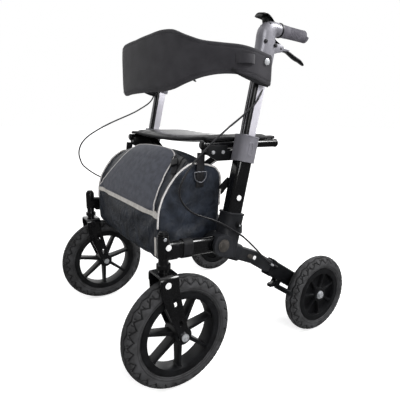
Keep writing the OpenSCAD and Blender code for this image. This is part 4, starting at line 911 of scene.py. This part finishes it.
bagStrap = {"path": [(240.5, -146, 597), (242.5, -148, 570), (243.5, -150, 546), (244.3, -150, 536),
                     (243.5, -150, 528), (241.5, -150, 508)], "width": 23, "thick": 2.2}
bagRing = {"middle": (245.3, -150, 536), "half": (18, 16), "wire": 1.7,
           "bend": [(-1, 0.75), (-1, 0.2), (-0.85, -0.35), (-0.45, -0.8), (0, -0.95), (0.45, -0.8),
                    (0.85, -0.35), (1, 0.2), (1, 0.75)]}
bagStay = {"path": [(226, -79, 482), (240, -76, 499), (252, -71, 514), (263, -66, 527)], "width": 24,
           "thick": 2.0}
bagBuckle = {"tie": [(160, 580), (173, 574), (187, 565), (201, 554), (214, 541)], "middle": (187, 565),
             "lift": 3.6, "width": 14, "thick": 1.6, "size": (26, 19, 7), "edge": 2.0}
tubeBand = {"from": (281, -116, 361), "to": (295, -284.5, 374), "share": 0.62, "width": 28,
            "half": (14.6, 23.6), "thick": 2.0}


def bagOutline(t):
    drawn = bagShape["draw"] * abs(t) ** 6
    lid = bagShape["lid"] * (1 - abs(t) ** 2.5)
    depth, height = bagShape["rear"] - bagShape["front"], bagShape["height"]
    line = np.array([(bagShape["front"] + depth * (0.5 + (a - 0.5) * (1 - 2 * drawn / depth)),
                      bagShape["low"] + height * b + lid * c + (drawn * 0.5 if b < 0.4 else -drawn))
                     for a, b, c in bagShape["outline"]])
    for _ in range(3):  # cut the corners round
        after = np.roll(line, -1, axis=0)
        line = np.stack([0.75 * line + 0.25 * after, 0.25 * line + 0.75 * after], axis=1).reshape(-1, 2)
    return line


def addBagShell():
    across = np.linspace(-1, 1, bagShape["rings"])
    rings = np.array([[(t * bagShape["halfWidth"], y, z) for y, z in bagOutline(t)] for t in across])
    count, cols = rings.shape[:2]
    points = rings.reshape(-1, 3).tolist()
    faces = gridFaces(count, cols)
    held = list(range(cols)) + list(range((count - 1) * cols, count * cols))
    for end, sign in ((0, -1), (count - 1, 1)):  # side panels in shrinking loops
        centre = rings[end].mean(axis=0)
        last = [end * cols + i for i in range(cols)]
        for share in 1 - np.arange(1, bagSide["loops"]) / bagSide["loops"]:
            fresh = list(range(len(points), len(points) + cols))
            bulge = sign * bagSide["bulge"] * (1 - share ** 2)
            points += ((rings[end] - centre) * share + centre + (bulge, 0, 0)).tolist()
            faces += [(last[i], last[(i + 1) % cols], fresh[(i + 1) % cols], fresh[i]) for i in range(cols)]
            last = fresh
        points.append((centre + (sign * bagSide["bulge"], 0, 0)).tolist())
        faces += [(last[i], last[(i + 1) % cols], len(points) - 1) for i in range(cols)]
    held += [j * cols + int(ring[:, 1].argmax()) for j, ring in enumerate(rings)]  # the seam at the back
    shell = addPiece("bag_shell", points, faces, bagCloth)
    with edited(shell.data) as form:
        bmesh.ops.recalc_face_normals(form, faces=form.faces)
    swell(shell, bagSag, held)
    places = np.array([v.co for v in shell.data.vertices])[:count * cols]
    return shell, places.reshape(count, cols, 3) / mm


shell, bagGrid = addBagShell()
bagNormals = unit(np.cross(np.gradient(bagGrid, axis=0),
                           np.roll(bagGrid, -1, axis=1) - np.roll(bagGrid, 1, axis=1)))
if bagNormals[bagShape["rings"] // 2, bagShape["frontAt"], 1] > 0:  # on the front they look forward
    bagNormals = -bagNormals


def ringAt(x):  # ring number, with its fraction, at a width
    last = bagShape["rings"] - 1
    return min(max((x / bagShape["halfWidth"] + 1) / 2 * last, 0), last - 0.001)


def onBag(x, k, lift=0.0):  # point over the shell at a width and a place round its outline
    j, cols = ringAt(x), bagGrid.shape[1]
    j0, k0 = int(j), int(math.floor(k))
    a, b = j - j0, k - k0
    corners = [(j0, k0, (1 - a) * (1 - b)), (j0, k0 + 1, (1 - a) * b),
               (j0 + 1, k0, a * (1 - b)), (j0 + 1, k0 + 1, a * b)]
    return sum(w * (bagGrid[m, n % cols] + lift * bagNormals[m, n % cols]) for m, n, w in corners)


def addPatch(name, corner, material, rows, cols, thick):  # sheet on the shell; corner(u, v): width and place
    points = [onBag(*corner(u, v), lift) for lift in (0.3, thick)
              for v in np.linspace(0, 1, rows) for u in np.linspace(0, 1, cols)]
    return sharpen(outward(addPiece(name, points, sheetFaces(rows, cols), material)), 50)


def frontPlace(x, z):  # place round the outline at a height, on the front slope
    j, span = ringAt(x), np.arange(bagLid["top"], bagLid["foot"])
    before, after = (np.interp(-z, -np.minimum.accumulate(bagGrid[ring, span, 2]), span)
                     for ring in (int(j), int(j) + 1))
    return before + (after - before) * (j - int(j))


def lidPlace(u, v):  # u from the far edge to the near edge, v from the lower edge to the top
    far, near = smoothTable(bagLid["left"], v)[0], smoothTable(bagLid["right"], v)[0]
    x = far + (near - far) * u
    low = frontPlace(x, bagLid["low"])
    return x, low + (bagLid["top"] - low) * v


def stripePlace(u, v):
    x = bagStripe["reach"] * (2 * u - 1)
    return x, frontPlace(x, bagStripe["top"] + (bagStripe["low"] - bagStripe["top"]) * v)


def zipPlace(v, aside=0.0):
    x, z = smoothTable(bagZip["line"], v)
    return x + aside, frontPlace(x + aside, z)


lid = addPatch("bag_lid", lidPlace, lidCloth, rows=60, cols=72, thick=bagLid["thick"])
lidEdge = ([lidPlace(0, v) for v in np.linspace(0, 1, 60)]
           + [lidPlace(u, 1) for u in np.linspace(0.02, 0.98, 40)]
           + [lidPlace(1, v) for v in np.linspace(1, 0, 60)])
lidEdge = smoothPath([onBag(*q, bagLid["pipingLift"]) for q in lidEdge], 4)
lidPiping = addTube("bag_lid_piping", lidEdge, bagLid["piping"], silverPiping, 10)
stripe = addPatch("bag_front_stripe", stripePlace, reflectTape, rows=6, cols=80, thick=1.6)
edge = [(bagCorner["x"], bagCorner["y"], z) for z in np.linspace(*bagCorner["z"], 12)]
corner = addRibbon("bag_corner_strip", edge, (1, 0, 0), bagCorner["width"], bagCorner["thick"], reflectTape)
sidePiping = []
for side, sign in bothSides:
    x = sign * bagPiping["x"]
    ways = np.linspace(frontPlace(x, bagPiping["from"]), bagPiping["to"], 90)
    seam = smoothPath([onBag(x, k, 1.2) + (sign * 1.2, 0, 0) for k in ways], 4)
    sidePiping.append(addTube(f"bag_side_piping_{side}", seam, bagPiping["radius"], silverPiping, 10))
zipLine = smoothPath([onBag(*zipPlace(v), 0.9) for v in np.linspace(0.02, 0.98, 40)], 4)
zipTape = addPatch("bag_zip_tape", lambda u, v: zipPlace(v, bagZip["width"] * (u - 0.5)), zipNylon,
                   rows=50, cols=5, thick=1.1)
zipTeeth = addStitches("bag_zip_teeth", [zipLine], bagZip["teeth"], zipNylon)
seamWays = np.linspace(-bagSeam["reach"], bagSeam["reach"], 90)
frontSeam = [onBag(x, frontPlace(x, bagSeam["z"]), 0.6) for x in seamWays]
lidSeam = [onBag(*lidPlace(0.02 + 0.96 * u, 0.02), bagLid["thick"] + 0.1) for u in np.linspace(0, 1, 90)]
bagThread = addStitches("bag_stitches", [frontSeam, lidSeam], bagSeam["stitch"])

bagSoft = [shell, lid, lidPiping, stripe, corner, zipTape, zipTeeth, bagThread] + sidePiping
halfY, halfZ = bagRing["half"]
bend = np.array([(0, a * halfY, b * halfZ) for a, b in bagRing["bend"]]) + bagRing["middle"]
crossing = (bend[0] + bend[-1]) / 2 + (0, 0, 0.5)
wire = np.vstack([smoothPath(bend, 2.5), smoothPath([bend[-1], crossing, bend[0]], 3)[1:-1]])
for side, sign in bothSides:
    mirror = (sign, 1, 1)
    strap = smoothPath(np.array(bagStrap["path"]) * mirror, 4)
    stay = smoothPath(np.array(bagStay["path"]) * mirror, 3)
    strap = addRibbon(f"bag_ring_strap_{side}", strap, (0, 1, 0), bagStrap["width"], bagStrap["thick"],
                      webbing)
    metal = addTube(f"bag_d_ring_{side}", wire * mirror, bagRing["wire"], nickelSteel, 10, closed=True)
    stay = addRibbon(f"bag_stay_{side}", stay, (0, 1, -0.4), bagStay["width"], bagStay["thick"], webbing)
    bagSoft += [strap, metal, stay]


def addBlock(name, middle, axes, size, material, edge):  # box along three directions, edges eased
    points = [np.asarray(middle) + sum(np.asarray(a) * h * q / 2 for a, h, q in zip(axes, size, (p, r, t)))
              for p in (-1, 1) for r in (-1, 1) for t in (-1, 1)]
    faces = [(0, 1, 3, 2), (4, 6, 7, 5), (0, 4, 5, 1), (2, 3, 7, 6), (0, 2, 6, 4), (1, 5, 7, 3)]
    return sharpen(eased(outward(addPiece(name, points, faces, material)), edge, 30, segments=3), 50)


tie = smoothPath([onBag(x, frontPlace(x, z), bagBuckle["lift"]) for x, z in bagBuckle["tie"]], 3)
spot = bagBuckle["middle"][0], frontPlace(*bagBuckle["middle"])
near = int(np.argmin(np.linalg.norm(tie - onBag(*spot, bagBuckle["lift"]), axis=1)))
aim = unit(tie[near + 2] - tie[near - 2])
lift = onBag(*spot, 5) - onBag(*spot, 0)
lift = unit(lift - aim * np.dot(lift, aim))
wide = np.cross(aim, lift)
bagSoft += [addRibbon("bag_lid_tie", tie, wide, bagBuckle["width"], bagBuckle["thick"], webbing),
            addBlock("bag_buckle", tie[near] + lift * 2.5, (aim, wide, lift), bagBuckle["size"], blackAbs,
                     bagBuckle["edge"])]
for piece in bagSoft:
    fit(piece, "left_frame")
    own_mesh(piece)
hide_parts("bag")

start, end = np.array(tubeBand["from"], float), np.array(tubeBand["to"], float)
along = unit(end - start)
up = unit(np.cross(np.cross(along, (0, 0, 1)), along))
w, h = tubeBand["half"]
turn = np.linspace(0, 2 * math.pi, 72, endpoint=False)
rise = w * np.sin(turn) + (h - w) * np.sign(np.sin(turn)) * np.minimum(1, np.abs(np.sin(turn)) * 6)
ring = np.outer(w * np.cos(turn), np.cross(along, up)) + np.outer(rise, up)
ring += start + (end - start) * tubeBand["share"]
for side, sign in bothSides:
    loop = addRibbon(f"bag_tube_band_{side}", ring * (sign, 1, 1), along * (sign, 1, 1), tubeBand["width"],
                     tubeBand["thick"], webbing, closed=True)
    fit(loop, f"{side}_frame")
print("bag hung:", len(bagSoft) + 2, "pieces")


# Hand grips: ribbed rubber with a collar and a notched end

gripShape = {"x": 281, "z": 907.4, "start": 66.4, "length": 95, "dip": 0.047, "radius": 15.2, "rib": 1.3,
             "ribs": 10, "ring": 26, "notch": 10, "lip": 8.9, "bore": 11.4, "hollow": 16}
collarShape = {"start": 61.2, "width": 4.6, "radius": 18.4, "bore": 14}


def addGrip(name, sign):
    g = gripShape
    r, run, bore = g["radius"], g["length"], g["bore"]
    profile = [(0, bore), (0, r + 0.2), (0.8, r + 0.9), (g["ring"] - 1, r + 0.5), (g["ring"], r - 0.6)]
    first, last = g["ring"] + 0.6, run - 9
    step = (last - first) / g["ribs"]
    for i in range(g["ribs"]):
        at = first + step * i
        profile += [(at, r - g["rib"]), (at + 0.25 * step, r - 0.2), (at + 0.5 * step, r + 0.1),
                    (at + 0.75 * step, r - 0.2)]
    profile += [(last, r - g["rib"]), (last + 1.5, r + 0.2), (run - 1.0, r + 0.4), (run, r - 0.4),
                (run, bore + 0.6), (run - g["hollow"], bore), (run - g["hollow"], 0.0)]
    aim = Vector((0, 1, -g["dip"])).normalized()
    foot = Vector((sign * g["x"], g["start"], g["z"]))
    piece = addTurned(name, profile, foot, aim, gripRubber, 96)
    for vertex in piece.data.vertices:  # the upper lip of the end is cut back
        place = vertex.co / mm - foot
        along = place.dot(aim)
        past = along - run + g["lip"]
        if past > 0:
            out = place - aim * along
            top = (out.z + 0.5 * sign * out.x) / max(out.length, 1e-6)
            vertex.co -= aim * mm * g["notch"] * min(1.0, max(0.0, (top - 0.25) / 0.12)) * past / g["lip"]
    return piece


for side, sign in bothSides:
    fit(addGrip(f"grip_sleeve_{side}", sign), f"{side}_handle", f"grip_{side}")
    w, r, bore = (collarShape[k] for k in ("width", "radius", "bore"))
    profile = [(0, bore), (0, r - 0.8), (0.8, r), (w - 0.8, r), (w, r - 0.8), (w, bore)]
    centre = (sign * gripShape["x"], collarShape["start"], gripShape["z"])
    collar = addTurned(f"grip_collar_{side}", profile, centre, (0, 1, 0), blackAbs)
    fit(collar, f"{side}_handle")
print("grips on")


# Handle heads, brake levers and release paddles

headShape = {  # rows from the foot to the grip: front edge y, z, rear edge y, z, half width, section exponent
    "x": 281, "around": 64, "rows": [
        (-26, 785.8, 27.8, 774.2, 18.2, 3), (-25.8, 787.5, 28.2, 776, 19, 3),
        (-13.6, 845.9, 41.2, 834.1, 19, 2.8), (-9.8, 861, 43.5, 847, 19, 2.7),
        (-7.6, 876, 45, 860, 19, 2.6), (-5.5, 895, 45.5, 872, 19, 2.5),
        (-0.5, 907.5, 45, 881, 18.8, 2.4), (9, 918.5, 44.8, 887, 18.5, 2.3), (20, 924.2, 46, 890.5, 18, 2.2),
        (33, 926, 49, 892, 17.5, 2.1), (47, 925.6, 54, 891.6, 17, 2), (61.4, 924.2, 61.4, 890.8, 16.6, 2)]}
leverWeb = {"cheek": [(34, 889), (50, 878.5), (64, 872), (73, 868.5), (75.5, 863), (72, 856), (64, 852.6),
                      (50, 850), (34, 845)],
            "bridge": [(34, 889), (50, 878.5), (63, 872.6), (63, 871.2), (50, 872), (34, 872)],
            "inner": 7.5, "outer": 10.8}
leverShape = {"path": [(62, 861.5), (75, 861.2), (95, 858), (110, 851.8), (125, 845.2), (143, 839.3),
                       (155, 833), (162, 828.5)],
              "thick": [4.6, 4.2, 3.2, 3.8, 4.5, 4.7, 3.8, 2.0], "wide": [7, 7, 7, 7.4, 7.8, 7.6, 6.6, 4.0],
              "trim": [(70.5, 865.4), (77, 865.9), (99.5, 861.8), (97, 859.2), (84, 858), (70.5, 858)],
              "trimHalf": 7.4, "around": 40, "power": 2.7, "tip": (0.94, 0.1)}
paddleShape = {"path": [(38, 925.5), (30, 930), (19, 935.5), (6, 939.8), (-9, 941.4)],
               "wide": [10, 14, 18, 21.5, 18], "thick": 3.4, "drop": 4.5, "tip": (0.8, 0.65),
               "pivot": (20.5, 916.3), "hub": 4.6, "hubHalf": 11.4, "pin": 2.2,
               "stem": [(14, 917), (27, 916), (33, 927), (22, 932), (10, 936)], "stemHalf": 9}


def addHead(name, sign):
    rows = [(i,) + row for i, row in enumerate(headShape["rows"])]
    steps = np.concatenate([[0, 1], np.linspace(1, len(rows) - 1, 45)[1:]])
    points = []
    for q in steps:
        fy, fz, ry, rz, a, power = smoothTable(rows, q) if q > 1 else rows[int(q)][1:]
        for px, d in zip(*superRing(headShape["around"], a, 0.5, power)):
            points.append((sign * (headShape["x"] + px), (fy + ry) / 2 + d * (fy - ry),
                           (fz + rz) / 2 + d * (fz - rz)))
    piece = addPiece(name, points, loftFaces(len(steps), headShape["around"]), satinGrey)
    return sharpen(outward(piece), 40)


def addPlate(name, outline, reach, sign, material, edge=0.8):  # flat shape between two widths
    points = [(sign * (headShape["x"] + x), y, z) for x in reach for y, z in outline]
    piece = outward(addPiece(name, points, loftFaces(2, len(outline)), material))
    return sharpen(eased(piece, edge, 25), 40)


def sideView(shape):  # path in y and z: its points, directions, shares of the run and half widths
    path = smoothPath([(0, y, z) for y, z in shape["path"]], 2)
    shares = np.linspace(0, 1, len(path))
    wide = np.interp(shares, np.linspace(0, 1, len(shape["wide"])), shape["wide"])
    return path[:, 1:], heading(path)[:, 1:], shares, wide


def tapered(t, start, keep):  # 1 up to the start, then round down to the share that is kept
    return math.sqrt(max(0.0, 1 - max(0.0, (t - start) / (1 - start)) ** 2)) * (1 - keep) + keep


def addBlade(name, sign):
    path, along, shares, wide = sideView(leverShape)
    thick = np.interp(shares, np.linspace(0, 1, len(leverShape["thick"])), leverShape["thick"])
    around, points = leverShape["around"], []
    for (y, z), (dy, dz), t, a, b in zip(path, along, shares, wide, thick):
        tip = tapered(t, *leverShape["tip"])
        for px, d in zip(*superRing(around, a * tip, b * tip, leverShape["power"])):
            points.append((sign * (headShape["x"] + px), y - d * dz, z + d * dy))
    return sharpen(outward(addPiece(name, points, loftFaces(len(path), around), blackAbs)), 50)


def addPaddle(name, sign):
    d = paddleShape
    path, along, shares, wide = sideView(d)
    across, points = np.linspace(-1, 1, 29), []
    for layer in (0, 1):
        for (y, z), (dy, dz), t, w in zip(path, along, shares, wide):
            reach = w * tapered(t, *d["tip"])
            for u in across:  # the sides curl down, the rim thins and the front end dips
                sink = (d["drop"] * abs(u) ** 2.4 + layer * d["thick"] * (1 - 0.45 * abs(u) ** 3)
                        + 1.5 * max(0.0, t - 0.85) / 0.15)
                points.append((sign * (headShape["x"] + reach * u), y + sink * dz, z - abs(sink * dy)))
    return sharpen(outward(addPiece(name, points, sheetFaces(len(path), len(across)), blackAbs)), 50)


for side, sign in bothSides:
    inner, outer, trimHalf = leverWeb["inner"], leverWeb["outer"], leverShape["trimHalf"]
    shellHead = addHead(f"head_shell_{side}", sign)
    cheeks = [addPlate(f"lever_cheek_{label}_{side}", leverWeb["cheek"], reach, sign, satinGrey)
              for label, reach in (("out", (inner, outer)), ("in", (-outer, -inner)))]
    bridge = addPlate(f"lever_bridge_{side}", leverWeb["bridge"], (-outer, outer), sign, satinGrey, 0.6)
    for piece in [shellHead, bridge] + cheeks:
        fit(piece, f"{side}_handle")
    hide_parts(f"handle_head_{side}")
    leverBody = cadNodes[f"brake_lever_{side}"]["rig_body"]
    fit(addBlade(f"lever_blade_{side}", sign), leverBody, f"brake_lever_{side}")
    trim = addPlate(f"lever_trim_{side}", leverShape["trim"], (-trimHalf, trimHalf), sign, satinGrey, 1.0)
    fit(trim, leverBody)
    paddleBody = cadNodes[f"height_lever_{side}"]["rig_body"]
    fit(addPaddle(f"paddle_leaf_{side}", sign), paddleBody, f"height_lever_{side}")
    half, hub, pin, stemHalf = (paddleShape[k] for k in ("hubHalf", "hub", "pin", "stemHalf"))
    barrel = addTurned(f"paddle_hub_{side}", [(-half, pin), (-half, hub), (half, hub), (half, pin)],
                       (sign * headShape["x"],) + paddleShape["pivot"], (1, 0, 0), blackAbs, 32)
    stem = addPlate(f"paddle_stem_{side}", paddleShape["stem"], (-stemHalf, stemHalf), sign, blackAbs)
    for piece in (barrel, stem):
        fit(piece, paddleBody)
print("handles finished")


# Small trim: plain discs, a bolt on the caster head, a pin in the knob, cable ends, tyre valves

discs = {"upright": ((299.0, -64.1, 480.6), 7.5, whiteVinyl),
         "caster": ((309.6, -277.6, 384.9), 7.5, whiteVinyl),
         "caster_bolt": ((309.6, -286.6, 406.1), 4.0, zincSteel)}
forkDisc = ((331.0, -290.1, 300.5), 8.0, whiteVinyl)
knobPin = {"profile": [(-1, 2.6), (0.6, 2.6), (1.0, 2.0), (1.0, 0)], "place": (-70.4, 410)}
ferrule = {"profile": [(-7, 2.6), (-7, 3.6), (6, 3.6), (7, 3.2), (7, 2.6)], "place": (273, 93, 252.5),
           "aim": (0, 0.82, -0.57)}
valves = {"front": {"aim": (-85.8, 14.4), "from": 99, "length": 40},
          "rear": {"aim": (-0.5, 0.86), "from": 75, "length": 26}}
for side, sign in bothSides:
    made = [(f"{label}_disc_{side}", look, f"{side}_frame") for label, look in discs.items()]
    made.append((f"fork_disc_{side}", forkDisc, cadNodes[f"fork_{side}"]["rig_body"]))
    for label, ((x, y, z), radius, material), body in made:
        profile = [(-0.4, radius), (0.5, radius), (0.8, radius - 0.4), (0.8, 0)]
        disc = addTurned(label, profile, (sign * x, y, z), (sign, 0, 0), material, 40)
        fit(disc, body)
    tip = max(sign * v.co.x for v in bpy.data.objects[f"clamp_knob_{side}"].data.vertices) / mm
    centre = (sign * tip,) + knobPin["place"]
    dot = addTurned(f"knob_pin_{side}", knobPin["profile"], centre, (sign, 0, 0), zincSteel, 24)
    fit(dot, f"{side}_frame")
    x, y, z = ferrule["place"]
    centre = (sign * x, y, z)
    cap = addTurned(f"cable_ferrule_{side}", ferrule["profile"], centre, ferrule["aim"], zincSteel, 24)
    fit(cap, f"{side}_frame")
    for end, look in valves.items():
        aim = Vector((0,) + look["aim"]).normalized()
        foot = Vector(tyres[end]["axle"]) + aim * look["from"]
        run = look["length"]
        profile = [(0, 5), (6, 4.4), (9, 3.2), (run - 15, 3.0), (run - 14.5, 4.0), (run - 1, 3.8),
                   (run, 3), (run, 0)]
        valve = addTurned(f"valve_{end}_{side}", profile, (sign * foot.x, foot.y, foot.z), -aim, blackAbs, 24)
        fit(valve, f"{side}_{end}_wheel")
print("trim on")


# Studio

studio = {"floor": "#f4f4f4", "floorHalf": 30000, "fill": 0.45, "bright": (-0.636, 0.408, 0.655),
          "shine": {"From Min": 0.05, "From Max": 0.6, "To Min": 0.1, "To Max": 1.1},
          "fade": {"From Min": 0.9, "From Max": 2.4, "To Min": 0.6, "To Max": 1.0},
          "lamps": [("key", (1.15, 1.2, 1.85), (0.28, -0.1, 0.4), 0.8, 34),
                    ("fill", (2.3, -0.6, 1.6), (0.1, 0.0, 0.5), 1.2, 26),
                    ("rim", (-1.8, 1.6, 1.9), (0.0, 0.0, 0.5), 0.9, 14)]}
world = bpy.data.worlds.new("studio")
scene.world = world
world.use_nodes = True
sky = world.node_tree
sky.nodes.clear()
ray = addNode(sky, "ShaderNodeLightPath").outputs
place = addNode(sky, "ShaderNodeTexCoord").outputs["Generated"]
facing = addNode(sky, "ShaderNodeVectorMath", {"operation": "DOT_PRODUCT", 1: studio["bright"]}, {0: place})
shine = addNode(sky, "ShaderNodeMapRange", studio["shine"], {"Value": facing.outputs["Value"]})
level = addNode(sky, "ShaderNodeMix", {2: studio["fill"]},
                {0: ray["Is Glossy Ray"], 3: shine.outputs["Result"]})
seen = addNode(sky, "ShaderNodeMath", {"operation": "MAXIMUM"},
               {0: ray["Is Camera Ray"], 1: ray["Is Transmission Ray"]})
level = addNode(sky, "ShaderNodeMix", {3: 1.0}, {0: seen.outputs[0], 2: level.outputs[0]})
back = addNode(sky, "ShaderNodeBackground", {"Color": (1, 1, 1, 1)}, {"Strength": level.outputs[0]})
addNode(sky, "ShaderNodeOutputWorld", None, {"Surface": back.outputs["Background"]})

paper = bpy.data.materials.new("studio_paper")
paper.use_nodes = True
sheet = paper.node_tree
sheet.nodes.clear()
ray = addNode(sheet, "ShaderNodeLightPath").outputs
matt = addNode(sheet, "ShaderNodeBsdfDiffuse", {"Color": linear(studio["floor"])})
ground = addNode(sheet, "ShaderNodeTexCoord").outputs["Object"]
far = addNode(sheet, "ShaderNodeVectorMath", {"operation": "LENGTH"}, {0: ground}).outputs["Value"]
fade = addNode(sheet, "ShaderNodeMapRange", studio["fade"], {"Value": far})
seen = addNode(sheet, "ShaderNodeMath", {"operation": "MULTIPLY"},
               {0: fade.outputs["Result"], 1: ray["Is Camera Ray"]})
glow = addNode(sheet, "ShaderNodeEmission", {"Color": (1, 1, 1, 1)}, {"Strength": seen.outputs[0]})
both = addNode(sheet, "ShaderNodeAddShader", None, {0: matt.outputs["BSDF"], 1: glow.outputs["Emission"]})
addNode(sheet, "ShaderNodeOutputMaterial", None, {"Surface": both.outputs["Shader"]})
wide, sunk = studio["floorHalf"], -0.5
corners = [(-wide, -wide, sunk), (wide, -wide, sunk), (wide, wide, sunk), (-wide, wide, sunk)]
floor = addPiece("studio_floor", corners, [(0, 1, 2, 3)], paper, smooth=False)
floor.visible_glossy = False  # dark surroundings in the gloss paint, as in the photo

for label, spot, aim, size, power in studio["lamps"]:
    lamp = bpy.data.lights.new(label, "AREA")
    lamp.size = size
    lamp.energy = power
    holder = placed(label, lamp)
    holder.location = spot
    holder.rotation_euler = (Vector(aim) - Vector(spot)).to_track_quat("-Z", "Y").to_euler()

photoCamera = {"lens": 33.18, "place": (1.0387, -0.6593, 0.6795), "azimuth": 57.346, "pitch": 12.276,
               "roll": 0.622}
lens = bpy.data.cameras.new("photo camera")
lens.lens = photoCamera["lens"]
lens.sensor_width = 36
lens.clip_start = 0.01
camera = placed("photo camera", lens)
a, p = math.radians(photoCamera["azimuth"]), math.radians(photoCamera["pitch"])
gaze = Vector((-math.sin(a) * math.cos(p), math.cos(a) * math.cos(p), -math.sin(p)))
roll = Matrix.Rotation(math.radians(photoCamera["roll"]), 3, "Z")
turned = gaze.to_track_quat("-Z", "Y").to_matrix() @ roll
camera.matrix_world = Matrix.Translation(photoCamera["place"]) @ turned.to_4x4()
scene.camera = camera
scene.view_settings.view_transform = "Standard"
print("studio set")
